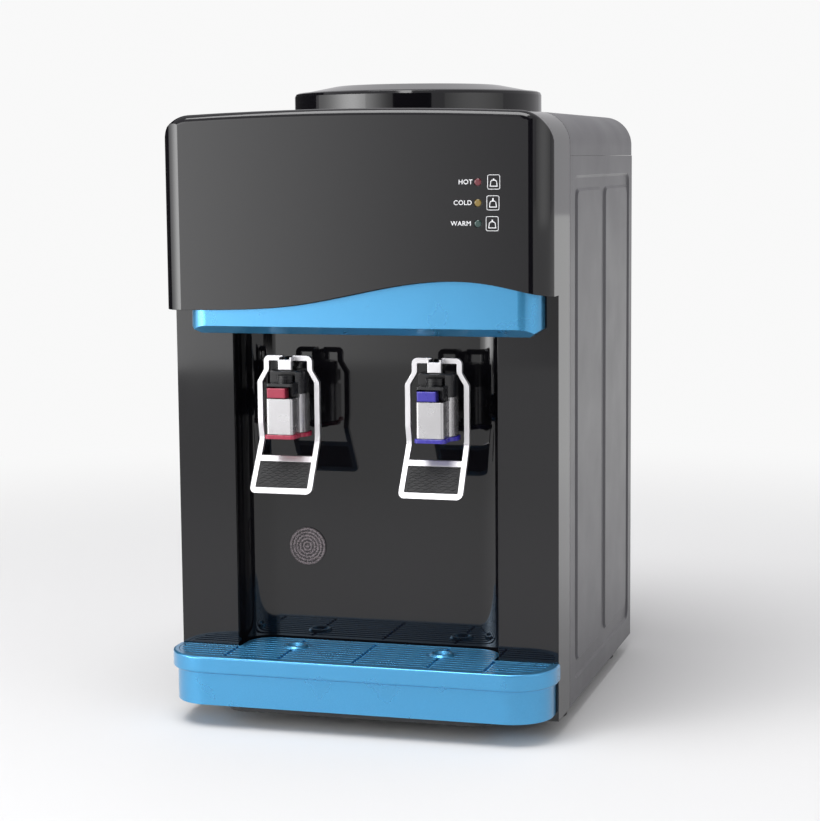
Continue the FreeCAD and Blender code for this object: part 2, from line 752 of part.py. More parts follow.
# ---------------------------------------------------------------- bottle seat
def bottle_collar():
    """Round collar through the cover, held by a flange below it, with a ledge for the funnel."""
    top = cabinet_top + collar_h
    low = cabinet_top - flange_low
    r = collar_r
    inner = r - collar_wall
    flange_top = low + flange_t
    leg_edge = leg_circle - 5.0
    profile = [(leg_edge, low), (r + flange_w, low), (r + flange_w, flange_top), (r, flange_top),
               (r, top - collar_round), (r - 0.9, top - 0.9), (r - collar_round, top),
               (inner, top - 1.0), (inner, top - 7.0), (inner - 6.0, top - 7.0),
               (inner - 6.0, flange_top), (leg_edge, flange_top)]
    legs = []
    for i in range(4):
        angle = math.radians(45 + 90 * i)
        foot = seat_pos + V(leg_circle * math.cos(angle), leg_circle * math.sin(angle), cold_top + lid_t + 2 * gap)
        legs.append(rod(4.0, foot, V(foot.x, foot.y, low + 1)))
    return fuse([turned(profile, seat_pos)] + legs)


def bottle_funnel():
    """Lift-off funnel: outer cone, ridge that carries the bottle, bowl and neck sleeve."""
    rim_z = cabinet_top + collar_h
    ridge_z = cabinet_top + funnel_rise
    outer = collar_r - collar_wall - gap
    ridge = funnel_ridge_r
    neck_low = cabinet_top - neck_drop
    bowl_z = cabinet_top - 10.0
    profile = [(outer, rim_z - 7.0 + gap), (outer, rim_z - 0.6), (ridge + 3, ridge_z - 0.4), (ridge, ridge_z),
               (ridge - 3, ridge_z - 1.2), (ridge - 8, ridge_z - 8), (neck_r + 8, bowl_z + 5),
               (neck_r, bowl_z), (neck_r, neck_low + 3), (spike_r + 0.02, neck_low + 3),
               (spike_r + 0.02, neck_low), (neck_r + 2.2, neck_low),
               (neck_r + 2.2, bowl_z - 1), (neck_r + 9, bowl_z + 2.5), (ridge - 6, ridge_z - 11),
               (ridge, ridge_z - 4.5), (outer - 3, rim_z - 4.0), (outer - 3, rim_z - 7.0 + gap)]
    return turned(profile, seat_pos)


def feed_spike():
    """Hollow spike that opens the bottle's cap, with side ports."""
    low = cabinet_top - neck_drop - 6.0
    top = cabinet_top + spike_top
    profile = [(spike_r - 2, low), (spike_r, low), (spike_r, top - 12), (spike_r - 2.5, top - 5),
               (spike_r - 7, top - 1), (0, top), (0, top - 2.5), (spike_r - 8, top - 4),
               (spike_r - 4.5, top - 7), (spike_r - 2, top - 13)]
    spike = turned(profile, seat_pos)
    ports = []
    for i in range(4):
        z = top - 22
        port = box(-2.5, 2.5, 0, spike_r + 5, z, z + 10)
        port.rotate(V(0, 0, 0), V(0, 0, 1), 90 * i + 45)
        port.translate(seat_pos)
        ports.append(port)
    return spike.cut(Part.makeCompound(ports))


# ---------------------------------------------------------------- taps
def tap_plan(grow, z0, z1):
    """Tap outline seen from above: round barrel with a square nose."""
    half = nose_w / 2 + grow
    front = -nose_proud - grow
    nose = [(-half, front, 2.0 + grow), (half, front, 2.0 + grow), (half, 0, 0), (-half, 0, 0)]
    barrel = Part.makeCylinder(barrel_r + grow, z1 - z0, V(0, 0, z0))
    return fuse([plan_prism(nose, z0, z1), barrel])


def at_tap(shape, side):
    """Move a shape from the tap's own axis to the left (-1) or right (1) tap."""
    shape.translate(V(side * tap_x, pillar_y, 0))
    return shape


def tap_shell():
    """Satin silver jacket around the barrel, with a groove beside the nose."""
    shell = tap_plan(0, shell_z, window_z)
    shell = shell.cut(tap_plan(-shell_wall, shell_z - 1, window_z + 1))
    half = nose_w / 2
    meet = math.sqrt(barrel_r ** 2 - half ** 2)
    for side in (-1, 1):
        x0, x1 = sorted((side * (half - 0.5), side * (half + 0.9)))
        shell = shell.cut(box(x0, x1, -meet - 0.7, -meet + 0.5, shell_z - 1, window_z + 1))
    cheek = tap_plan(0, window_z, window_z + 2.5).cut(tap_plan(-shell_wall, window_z - 1, window_z + 4))
    cheek = cheek.cut(box(-half - 1, half + 1, -nose_proud - 1, -meet + 1.5, window_z - 1, window_z + 4))
    shell = fuse([shell, cheek])
    hole = rod(spigot_r + gap, V(0, 0, spigot_z), V(0, barrel_r + 5, spigot_z))
    return shell.cut(hole)


def tap_skirt():
    """Coloured ring around the bottom of the jacket."""
    top = shell_z - gap
    low = top - skirt_h
    ring = tap_plan(skirt_proud, low, top)
    ring = ring.cut(tap_plan(-shell_wall - 1.5, low + 1.5, top + 1))
    hole = rod(spout_r + gap, V(0, 0, low - 1), V(0, 0, top + 1))
    ring = rounded_edges(ring, 0.8, lambda e: e.BoundBox.ZMin > top - 0.01 and outside_ring(e))
    return ring.cut(hole)


def outside_ring(edge):
    """True for an edge on the skirt's outer wall."""
    return max(abs(edge.CenterOfMass.x), abs(edge.CenterOfMass.y)) > barrel_r - 4


def tap_body():
    """Black core: barrel, nose, button window, bonnet housing, pivot block, spigot and spout."""
    inset = shell_wall + gap
    low = shell_z - skirt_h + 1.5
    window_top = window_z + window_h
    housing_top = window_top + housing_h
    half = nose_w / 2
    core = tap_plan(-inset, shell_z, window_z + 2.5)
    upper = tap_plan(-0.2, window_z + 2.5 + gap, window_top + 1.5)
    neck = tap_plan(-inset, window_z, window_z + 5)
    barrel = Part.makeCylinder(barrel_r - 0.2, housing_top - window_top + 1, V(0, 0, window_top - 1))
    barrel = rounded_edges(barrel, 1.8, lambda e: e.BoundBox.ZMin > housing_top - 0.01)
    spout = Part.makeCylinder(spout_r, shell_z - low + 1 + spout_drop, V(0, 0, low - spout_drop))
    block_top = lever_top - 1.2
    pivot = box(-pivot_half, pivot_half, -6.8, 6, housing_top - 1, block_top)
    pivot = rounded_edges(pivot, 1.5, lambda e: e.BoundBox.XLength > pivot_half and e.BoundBox.ZMin > block_top - 0.1)
    spigot = rod(spigot_r, V(0, 0, spigot_z), V(0, alcove_d + 14, spigot_z))
    barb = rod(barb_r, V(0, alcove_d + 13, spigot_z), V(0, alcove_d + 24, spigot_z))
    flange = rod(11.0, V(0, barrel_r + 4, spigot_z), V(0, alcove_d - gasket_t - 2 * gap, spigot_z))
    body = fuse([core, neck, upper, barrel, spout, pivot, spigot, barb, flange])
    slot_top = window_top - 0.6
    window = box(-half + 0.6, half - 0.6, -nose_proud - 1, -nose_proud + 10, window_z + 0.3, slot_top)
    notch = box(-barrel_r - 2, half - 2.0, -barrel_r - 9, -3.5, window_top + 0.4, housing_top - 0.6)
    tab_room = box(-tab_half - 1, tab_half + 1, -12.4, -5.6, housing_top - 3.2, lever_top)
    chamber = Part.makeCylinder(stem_head_r + 0.6, housing_top - 6 - spigot_z, V(0, 0, spigot_z - 4))
    stem_way = Part.makeCylinder(stem_r + run_fit, pivot_z + 20, V(0, 0, spigot_z))
    outlet = Part.makeCylinder(3.5, 40, V(0, 0, low - spout_drop - 1))
    outlet = outlet.common(Part.makeBox(60, 60, spigot_z - low + spout_drop, V(-30, -30, low - spout_drop - 1)))
    bore = rod(spigot_bore, V(0, 0, spigot_z + 2), V(0, alcove_d + 25, spigot_z + 2))
    bore.translate(V(0, 0, -2))
    slit = box(-1.6, 1.6, -8, 3, housing_top + 0.5, lever_top)
    for cutter in (window, notch, tab_room, chamber, stem_way, outlet, bore, slit):
        body = body.cut(cutter)
    bonnet = bonnet_stack(window_top, housing_top - 3.4)
    body = fuse([body, bonnet])
    pin_hole = rod(pivot_r + run_fit, V(-12, lever_y, pivot_z), V(12, lever_y, pivot_z))
    return body.cut(pin_hole).cut(stem_way)


def bonnet_stack(low, high):
    """Ribbed cylinder seen in the notch of the housing."""
    profile = [(0, low - 0.5)]
    z = low - 0.5
    step = (high - low + 0.5) / 6
    for i in range(6):
        profile += [(bonnet_r, z), (bonnet_r, z + step * 0.6), (bonnet_r - 0.6, z + step * 0.75),
                    (bonnet_r - 0.6, z + step * 0.95)]
        z += step
    profile += [(bonnet_r, z), (0, z)]
    stack = turned(profile, V(0, -8.0, 0))
    return stack


def lock_button():
    """Sliding lock button in the window above the nose."""
    half = nose_w / 2
    z0 = window_z + 0.3 + gap
    left = -half + 0.6 + gap
    button = box(left, left + button_w, -nose_proud - 0.6, -nose_proud + 8, z0, z0 + button_h)
    front = -nose_proud - 0.6
    return rounded_edges(button, 1.0, lambda e: e.BoundBox.YMax < front + 0.01)


def lever_outline(shrink):
    """Front view of the lever frame, as (x, z, radius) corners."""
    top_half = lever_top_w / 2 - shrink
    half = lever_w / 2 - shrink
    waist = half - 0.5
    top = lever_top - shrink
    low = lever_base + shrink
    flare = lever_top - lever_shoulder
    wide = lever_top - 20.0
    bend = lever_top - 52.0
    pinch = lever_top - 64.0
    corner = max(4.5 - shrink, 0.8)
    return [(-top_half, top, corner), (top_half, top, corner), (top_half, flare, 3.0), (half, wide, 3.0),
            (half, bend, 3.0), (waist, pinch, 3.0), (half, low, corner), (-half, low, corner),
            (-waist, pinch, 3.0), (-half, bend, 3.0), (-half, wide, 3.0), (-top_half, flare, 3.0)]


def lever_ribbon(thick, x_half):
    """Side view of the lever, bent back at its waist and kicked forward at the paddle."""
    straight = lever_y
    bend = lever_top - 52.0
    pinch = lever_top - 64.0
    half = thick / 2
    path = [(straight, lever_top + 1), (straight, bend), (lever_waist, pinch), (-lever_kick, lever_base - 1)]
    front = [(y - half, z, 0 if i in (0, 3) else 4.0) for i, (y, z) in enumerate(path)]
    back = [(y + half, z, 0 if i in (0, 3) else 4.0) for i, (y, z) in enumerate(path)]
    return side_prism(front + back[::-1], -x_half, x_half)


def lever():
    """Silver lever: closed frame, cross bar above the pad, front tab and the hub on the pivot pin."""
    cross_z = lever_base + pad_h
    frame = front_prism(lever_outline(0), -40, 40)
    window = front_prism(lever_outline(lever_bar), -41, 41)
    cross = box(-lever_w, lever_w, -40, 40, cross_z, cross_z + lever_bar)
    cross = cross.common(frame)
    frame = fuse([frame.cut(window), cross]).common(lever_ribbon(lever_t, lever_w))
    bar_low = lever_top - lever_bar
    strap_in = pivot_half + gap
    tab_front = lever_y - 9.5
    tab_back = lever_y - 5.8
    frame = frame.cut(box(-strap_in, strap_in, lever_y - 5, lever_y + 5, bar_low - 1, lever_top + 1))
    straps = []
    for x0, x1 in ((-tab_half, -strap_in), (strap_in, tab_half)):
        straps.append(box(x0, x1, tab_front, lever_y + lever_t / 2, bar_low, lever_top - 0.8))
    tab = box(-tab_half, tab_half, tab_front, tab_back, pivot_z - 4.0, bar_low + 1.5)
    tab = rounded_edges(tab, 0.6, lambda e: e.BoundBox.YMax < tab_front + 0.1)
    hub = rod(3.2, V(-1.3, lever_y, pivot_z), V(1.3, lever_y, pivot_z))
    web = box(-1.3, 1.3, tab_back - 0.5, lever_y, pivot_z - 1.5, pivot_z + 1.5)
    body = fuse([frame, tab, hub, web] + straps)
    return body.cut(rod(pivot_r + run_fit, V(-12, lever_y, pivot_z), V(12, lever_y, pivot_z)))


def lever_pad():
    """Black rubber pad that fills the paddle below the cross bar."""
    cross_z = lever_base + pad_h
    field = front_prism(lever_outline(lever_bar + 0.02), -40, 40)
    field = field.common(box(-40, 40, -40, 40, lever_base, cross_z - 0.02))
    return field.common(lever_ribbon(lever_t - 1.4, lever_w))


def valve_stem():
    """Valve stem with its sealing head, under the lever's hub."""
    head = spigot_z - 3.5
    top = pivot_z - 6.6
    profile = [(0, head), (stem_head_r - 1, head), (stem_head_r, head + 1), (stem_head_r, head + 3.5),
               (stem_r, head + 4.5), (stem_r, top - 1), (stem_r - 1, top), (0, top)]
    return turned(profile, V(0, 0, 0))


def valve_spring():
    """Compression spring between the stem's head and the roof of the chamber."""
    low = spigot_z + 1.6
    high = window_z + window_h + housing_h - 10.4
    pitch = (high - low - 2 * spring_wire) / spring_turns
    helix = Part.makeHelix(pitch, pitch * spring_turns, spring_r)
    corner_r = spring_wire / 2 / math.cos(math.pi / spring_sides)
    corners = []
    for i in range(spring_sides):
        angle = 2 * math.pi * (i + 0.5) / spring_sides
        corners.append(V(spring_r + corner_r * math.cos(angle), 0, corner_r * math.sin(angle)))
    section = Part.makePolygon(corners + [corners[0]])
    coil = Part.Wire(helix.Edges).makePipeShell([section], True, True)
    coil.translate(V(0, 0, low + spring_wire))
    return coil


def hex_nut(length):
    """Nut on the spigot behind the alcove wall, along +Y from the origin."""
    corner = nut_af / math.sqrt(3)
    points = [(corner * math.cos(math.radians(60 * i)), corner * math.sin(math.radians(60 * i)), 0)
              for i in range(6)]
    return front_prism(points, 0, length)


def spigot_ring(outer, inner, depth, thickness):
    """Gasket or nut around both spigots, one solid each."""
    rings = []
    for side in (-1, 1):
        start = V(side * tap_x, pillar_y + depth, spigot_z)
        rings.append(tube(outer, inner, start, start + V(0, thickness, 0)))
    return Part.makeCompound(rings)


def tap_nuts():
    """Hexagon nuts that hold the taps, one solid each."""
    nuts = []
    for side in (-1, 1):
        nut = hex_nut(nut_t)
        nut.translate(V(side * tap_x, pillar_y + alcove_d + wall + gap, spigot_z))
        bore = rod(spigot_r + run_fit, V(side * tap_x, pillar_y, spigot_z), V(side * tap_x, seam_y + 40, spigot_z))
        nuts.append(nut.cut(bore))
    return Part.makeCompound(nuts)


def pivot_pins():
    """Steel pivot pins of both levers, one solid each."""
    pins = []
    for side in (-1, 1):
        x = side * tap_x
        reach = V(pivot_half + gap / 2, 0, 0)
        pin = rod(pivot_r, V(x, pivot_y, pivot_z) - reach, V(x, pivot_y, pivot_z) + reach)
        pins.append(pin)
    return Part.makeCompound(pins)


# ---------------------------------------------------------------- water system
def cold_tank():
    """Steel cold tank, open at the top, with a rolled rim and two outlets."""
    centre = seat_pos
    cup = rod(cold_r, centre + V(0, 0, cold_z), centre + V(0, 0, cold_top))
    rim = rod(cold_r + 6, centre + V(0, 0, cold_top - 1.5), centre + V(0, 0, cold_top))
    outlets = [rod(barb_r, p + V(0, 0, 2), p - V(0, 0, 12)) for p in cold_outlets()]
    body = fuse([cup, rim] + outlets)
    inner = centre + V(0, 0, cold_z + tank_wall)
    body = body.cut(rod(cold_r - tank_wall, inner, centre + V(0, 0, cold_top + 1)))
    for p in cold_outlets():
        body = body.cut(rod(spigot_bore, p + V(0, 0, 3), p - V(0, 0, 13)))
    return body


def cold_outlets():
    """Outlet centres under the cold tank: to the cold tap and to the hot tank."""
    return [seat_pos + V(34, -20, cold_z), seat_pos + V(-34, -6, cold_z)]


def tank_lid():
    """Plastic lid of the cold tank, with the hole for the funnel's neck."""
    low = cold_top + gap
    hole = neck_r + 2.2 + gap
    profile = [(hole, low), (leg_circle + 6, low), (leg_circle + 6, low + lid_t), (hole + 6, low + lid_t),
               (hole + 4, low + lid_t + 3), (hole, low + lid_t + 3)]
    return turned(profile, seat_pos)


def tank_foam():
    """Insulation around the cold tank, with windows for the cooler and the outlets."""
    outer = cold_r + foam_t
    low = cold_z - foam_t
    foam = rod(outer, seat_pos + V(0, 0, low), seat_pos + V(0, 0, cold_top - 1.5 - gap))
    foam = foam.cut(rod(cold_r + gap, seat_pos + V(0, 0, cold_z - gap), seat_pos + V(0, 0, cold_top)))
    for p in cold_outlets():
        foam = foam.cut(rod(barb_r + hose_wall + 1, p + V(0, 0, 2), p - V(0, 0, foam_t + 2)))
    half = block_w / 2 + gap
    z = cooler_z()
    window = box(-half, half, seat_pos.y + cold_r * 0.7, seat_pos.y + outer + 5, z - half, z + half)
    flat = box(-outer, outer, seat_pos.y + cold_r + 10, seat_pos.y + outer + 5, low - 1, cold_top)
    return foam.cut(window).cut(flat)


def cooler_z():
    """Middle height of the thermoelectric cooler."""
    return cold_z + cold_h / 2


def cold_block():
    """Aluminium block between the cold tank and the thermoelectric module."""
    half = block_w / 2
    z = cooler_z()
    block = box(-half, half, seat_pos.y + cold_r * 0.8, block_rear(), z - half, z + half)
    return block.cut(rod(cold_r + 0.1, seat_pos + V(0, 0, cold_z), seat_pos + V(0, 0, cold_top)))


def block_rear():
    """Rear face of the cold block."""
    return seat_pos.y + cold_r + 13.0


def peltier_module():
    """Thermoelectric module on the rear of the cold block."""
    half = module_w / 2
    z = cooler_z()
    y = block_rear() + 0.05
    return box(-half, half, y, y + module_t, z - half, z + half)


def heat_sink():
    """Finned aluminium heat sink on the hot side of the module."""
    half = sink_w / 2
    z = cooler_z()
    y = block_rear() + module_t + 0.1
    sink = box(-half, half, y, y + sink_base, z - half, z + half)
    fins = []
    pitch = (sink_w - 1.4) / (fin_count - 1)
    for i in range(fin_count):
        x = -half + i * pitch
        fins.append(box(x, x + 1.4, y + sink_base - 0.5, y + sink_base + sink_fin, z - half, z + half))
    return fuse([sink] + fins)


def fan_front():
    """Front face of the fan."""
    return block_rear() + module_t + 0.1 + sink_base + sink_fin + gap


def fan_frame():
    """Square fan frame with its hub spider."""
    half = fan_w / 2
    z = cooler_z()
    y = fan_front()
    frame = front_prism(rect(-half, half, z - half, z + half, 5.0), y, y + fan_t)
    duct = rod(half - 2.5, V(0, y - 1, z), V(0, y + fan_t + 1, z))
    frame = frame.cut(duct)
    arms = [rod(14.0, V(0, y, z), V(0, y + 2.0, z))]
    for i in range(3):
        arm = box(-1.5, 1.5, y, y + 2.0, z, z + half - 1)
        arm.rotate(V(0, y, z), V(0, 1, 0), 120 * i)
        arms.append(arm)
    axle = rod(1.5, V(0, y, z), V(0, y + 8.0, z))
    return fuse([frame] + arms + [axle])


def fan_rotor():
    """Fan hub with pitched blades."""
    z = cooler_z()
    y = fan_front() + 2.0 + gap
    centre = V(0, y, z)
    deep = fan_t - 2.0 - 2 * gap
    pieces = [rod(14.0, centre, centre + V(0, deep, 0))]
    for i in range(fan_blades):
        blade = box(-0.8, 0.8, 0, deep - 2, 12.0, fan_w / 2 - 4.0)
        blade.rotate(V(0, deep / 2 - 1, 0), V(0, 0, 1), 38)
        blade = blade.common(box(-30, 30, 0, deep, 0, fan_w))
        blade.rotate(V(0, 0, 0), V(0, 1, 0), 360.0 * i / fan_blades)
        blade.translate(centre)
        pieces.append(blade)
    rotor = fuse(pieces)
    return rotor.cut(rod(1.5 + run_fit, centre - V(0, 1, 0), centre + V(0, 7.0, 0)))


def hot_tank():
    """Closed steel hot tank with its inlet, outlet and drain stubs."""
    low = V(hot_pos.x, hot_pos.y, hot_z)
    high = V(hot_pos.x, hot_pos.y, hot_z + hot_h)
    body = rod(hot_r, low, high)
    body = rounded_edges(body, 6.0, lambda e: e.BoundBox.ZLength < 0.01 and e.Length > hot_r)
    stubs = [rod(barb_r, a, b) for a, b in hot_stubs()]
    body = fuse([body] + stubs)
    inner = rod(hot_r - tank_wall, low + V(0, 0, tank_wall), high - V(0, 0, tank_wall))
    inner = rounded_edges(inner, 5.0, lambda e: e.BoundBox.ZLength < 0.01 and e.Length > hot_r)
    bores = []
    for a, b in hot_stubs():
        reach = (b - a).normalize()
        bores.append(rod(spigot_bore, a, b + reach))
    return body.cut(Part.makeCompound([inner] + bores))


def hot_stubs():
    """Start and end of the hot tank's stubs: outlet, inlet and drain."""
    top = hot_z + hot_h
    outlet = hot_pos + V(-20, -12, top - 4)
    inlet = hot_pos + V(-16, 20, top - 4)
    drain = hot_pos + V(0, hot_r - 14, hot_z + 3)
    return [(outlet, outlet + V(0, 0, 16)), (inlet, inlet + V(0, 0, 16)), (drain, drain - V(0, 0, 15))]


def band_heater():
    """Clamped heater band around the hot tank."""
    z = hot_z + hot_h * 0.3
    inner = hot_r + 0.1
    band = tube(inner + heater_t, inner, hot_pos + V(0, 0, z), hot_pos + V(0, 0, z + heater_h))
    lug_x = inner + heater_t - 1
    lug = box(lug_x, lug_x + 8, hot_pos.y - 4, hot_pos.y + 4, z + 4, z + heater_h - 4)
    band = band.fuse(lug)
    return band.cut(box(inner - 3, lug_x + 12, hot_pos.y - 1.2, hot_pos.y + 1.2, z - 1, z + heater_h + 1))


def hot_jacket():
    """Insulation jacket around the hot tank and its heater."""
    low = hot_z + 4
    high = hot_z + hot_h - 8
    outer = hot_r + jacket_t
    z = hot_z + hot_h * 0.3
    jacket = tube(outer, hot_r + gap, hot_pos + V(0, 0, low), hot_pos + V(0, 0, high))
    pocket = rod(hot_r + heater_t + 0.1 + gap, hot_pos + V(0, 0, z - gap), hot_pos + V(0, 0, z + heater_h + gap))
    lug = box(hot_r, hot_r + heater_t + 8, hot_pos.y - 5, hot_pos.y + 5, z, z + heater_h)
    return jacket.cut(pocket).cut(lug)


def thermostats():
    """Two disc thermostats on the top of the hot tank, one solid each."""
    discs = []
    top = hot_z + hot_h + 0.1
    for x, y in ((14, -14), (16, 12)):
        centre = hot_pos + V(x, y, top)
        disc = rod(8.0, centre, centre + V(0, 0, 7))
        cap = rod(4.5, centre + V(0, 0, 6), centre + V(0, 0, 11))
        blades = box(-7, 7, -0.4, 0.4, 0, 6)
        blades.translate(centre + V(0, 0, 9))
        discs.append(fuse([disc, cap, blades]))
    return Part.makeCompound(discs)


def water_hoses():
    """Silicone hoses: cold tank to cold tap, cold tank to hot tank, hot tank to hot tap."""
    outer = barb_r + hose_wall
    inner = barb_r + 0.02
    spigot_end = pillar_y + alcove_d + 15
    down = V(0, 0, -1)
    up = V(0, 0, 1)
    back = V(0, 1, 0)
    cold_out, feed_out = [p + down * 2 for p in cold_outlets()]
    hot_out, hot_in = [b - up * 10 for a, b in hot_stubs()[:2]]
    cold_tap = V(tap_x, spigot_end, spigot_z)
    hot_tap = V(-tap_x, spigot_end, spigot_z)
    runs = [
        (cold_out, down, cold_tap, back, [(cold_out + down * 34 + cold_tap + back * 34) * 0.5]),
        (feed_out, down, hot_in, up, [(feed_out + hot_in) * 0.5]),
        (hot_out, up, hot_tap, back, [(hot_out + up * 28 + hot_tap + back * 34) * 0.5]),
    ]
    hoses = [hose(a, a_way, b, b_way, via, outer, inner) for a, a_way, b, b_way, via in runs]
    return Part.makeCompound(hoses)


def drain_z():
    """Height of the drain outlet."""
    return floor_z + 22.0


def drain_pipe():
    """Drain elbow from the hot tank to the threaded outlet in the rear panel."""
    start = hot_stubs()[2][1] + V(0, 0, 10)
    z = drain_z()
    turn = V(0, start.y, z)
    rear = V(0, rear_y - 7.0, z)
    outer = fuse([rod(drain_r, start, V(0, start.y, z)), Part.makeSphere(drain_r, turn), rod(drain_r, turn, rear)])
    collar = rod(drain_r + 4, V(0, rear_panel_y - 3 - gap, z), V(0, rear_panel_y - gap, z))
    outer = fuse([outer, collar])
    inner_r = barb_r + 0.02
    inner = fuse([rod(inner_r, start + V(0, 0, 1), turn), Part.makeSphere(inner_r, turn),
                  rod(inner_r, turn, rear + V(0, 1, 0))])
    return outer.cut(inner)


def drain_cap():
    """Knurled screw cap on the drain outlet."""
    z = drain_z()
    near = rear_panel_y + sheet + gap
    far = rear_y - 1.0
    cap = rod(10.0, V(0, near, z), V(0, far, z))
    cap = rounded_edges(cap, 1.2, lambda e: e.BoundBox.YMin > far - 0.01)
    grips = []
    for i in range(18):
        angle = math.radians(20 * i)
        x = 10.3 * math.cos(angle)
        dz = 10.3 * math.sin(angle)
        grips.append(rod(0.9, V(x, near - 1, z + dz), V(x, far + 1, z + dz)))
    cap = cap.cut(Part.makeCompound(grips))
    return cap.cut(rod(drain_r + run_fit, V(0, near - 1, z), V(0, rear_y - 6.0, z)))


# ---------------------------------------------------------------- electrics
def board_posts():
    """Posts that carry the power board."""
    return [(sx, seat_pos.y + dy) for sx in (80.0, 130.0) for dy in (-40.0, 50.0)]


def power_board():
    """Power board with a transformer, capacitors and a heat-sinked regulator."""
    z = floor_z + 10.0 + gap
    y = seat_pos.y + 5
    board = box(74, 136, y - 51, y + 51, z, z + 1.6)
    parts = [box(80, 112, y - 40, y - 6, z + 1, z + 28), box(118, 122, y - 30, y + 10, z + 1, z + 26)]
    for i in range(3):
        parts.append(rod(6.0, V(86 + 15 * i, y + 20, z + 1), V(86 + 15 * i, y + 20, z + 22)))
    parts.append(box(80, 130, y + 38, y + 47, z + 1, z + 11))
    return fuse([board] + parts)


def switch_z():
    """Height of the two rear switches."""
    return floor_z + 46.0


def switch_places():
    """Positions of the hot and the cold switch across the rear panel."""
    return [-92.0, -58.0]


def rocker_base(x):
    """Switch housing clipped into the rear panel."""
    z = switch_z()
    face = rear_panel_y + sheet
    w = switch_w / 2
    h = switch_h / 2
    flange = box(x - w - 2, x + w + 2, face + 0.05, face + 2.0, z - h - 2, z + h + 2)
    flange = rounded_edges(flange, 0.8, lambda e: e.BoundBox.YMin > face + 1.9)
    body = box(x - w + 0.2, x + w - 0.2, rear_panel_y - 14, face + 1, z - h + 0.2, z + h - 0.2)
    pocket = box(x - w + 2, x + w - 2, rear_panel_y - 8, face + 3, z - h + 2, z + h - 2)
    reach = w - 2 + rocker_pin + gap / 3
    sockets = rod(rocker_pin_r + run_fit, V(x - reach, face, z), V(x + reach, face, z))
    return fuse([flange, body]).cut(pocket).cut(sockets)


def switch_bases():
    """Both rear switch housings, one solid each."""
    return Part.makeCompound([rocker_base(x) for x in switch_places()])


def rocker(x):
    """Rocker button of one switch, tilted about X."""
    z = switch_z()
    face = rear_panel_y + sheet
    w = switch_w / 2 - 2 - gap
    h = switch_h / 2 - 2 - gap
    body = [(face - 3.5, z - h + 0.9, 0), (face + 1.6, z - h, 0.5), (face + 2.6, z, 4.0),
            (face + 3.6, z + h - 0.2, 0.5), (face - 3.5, z + h - 1.2, 0)]
    reach = w + rocker_pin
    pins = rod(rocker_pin_r, V(x - reach, face, z), V(x + reach, face, z))
    return fuse([side_prism(body, x - w, x + w), pins])


def gland_x():
    """Cord gland across the rear panel."""
    return 90.0


def gland_z():
    """Height of the cord gland."""
    return floor_z + 30.0


def cord_gland():
    """Empty bushing where a mains cord would enter."""
    x = gland_x()
    z = gland_z()
    near = V(x, rear_panel_y - 5, z)
    far = V(x, rear_panel_y + sheet + 6, z)
    bush = rod(gland_r, near, far)
    flange = rod(gland_r + 3, V(x, rear_panel_y + sheet + 0.05, z), V(x, rear_panel_y + sheet + 2.5, z))
    flange = rounded_edges(flange, 1.0, lambda e: e.BoundBox.YMin > rear_panel_y + sheet + 2.4)
    return fuse([bush, flange]).cut(rod(3.6, near - V(0, 1, 0), far + V(0, 1, 0)))


# ---------------------------------------------------------------- build
def main():
    """Build every node and write its STEP file."""
    os.makedirs("parts", exist_ok=True)
    right_side = side_panel()
    save("right_side_panel", right_side)
    save("left_side_panel", mirror_x(right_side))
    save("base_plate", base_plate())
    save("rubber_feet", rubber_feet())
    save("rear_panel", rear_panel())
    save("rear_screws", rear_screws())
    save("top_cover", top_cover())
    save("front_frame", front_frame())
    save("alcove_liner", alcove_liner())
    save("round_label", round_label())
    save("fascia_panel", fascia())
    save("wave_trim", wave_trim())
    for name, z in zip(("hot_light", "cold_light", "warm_light"), light_heights()):
        save(name, status_light(z))
    save("light_board", light_board())
    save("drip_tray", drip_tray())
    save("drip_grille", drip_grille())
    save("bottle_collar", bottle_collar())
    save("bottle_funnel", bottle_funnel())
    save("feed_spike", feed_spike())
    for name, side in (("hot", -1), ("cold", 1)):
        save(name + "_tap_body", at_tap(tap_body(), side))
        save(name + "_tap_shell", at_tap(tap_shell(), side))
        save(name + "_tap_skirt", at_tap(tap_skirt(), side))
        save(name + "_lock_button", at_tap(lock_button(), side))
        save(name + "_lever", at_tap(lever(), side))
        save(name + "_lever_pad", at_tap(lever_pad(), side))
        save(name + "_valve_stem", at_tap(valve_stem(), side))
        save(name + "_valve_spring", at_tap(valve_spring(), side))
    save("pivot_pins", pivot_pins())
    save("tap_nuts", tap_nuts())
    save("tap_gaskets", spigot_ring(10.0, spigot_r + gap, alcove_d - gasket_t - gap, gasket_t))
    save("cold_tank", cold_tank())
    save("tank_lid", tank_lid())
    save("tank_foam", tank_foam())
    save("cold_block", cold_block())
    save("peltier_module", peltier_module())
    save("heat_sink", heat_sink())
    save("fan_frame", fan_frame())
    save("fan_rotor", fan_rotor())
    save("hot_tank", hot_tank())
    save("band_heater", band_heater())
    save("hot_jacket", hot_jacket())
    save("thermostats", thermostats())
    save("water_hoses", water_hoses())
    save("drain_pipe", drain_pipe())
    save("drain_cap", drain_cap())
    save("power_board", power_board())
    save("switch_bases", switch_bases())
    for name, x in zip(("hot_switch", "cold_switch"), switch_places()):
        save(name, rocker(x))
    save("cord_gland", cord_gland())


main()
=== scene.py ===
import math

import bpy
from mathutils import Matrix, Vector


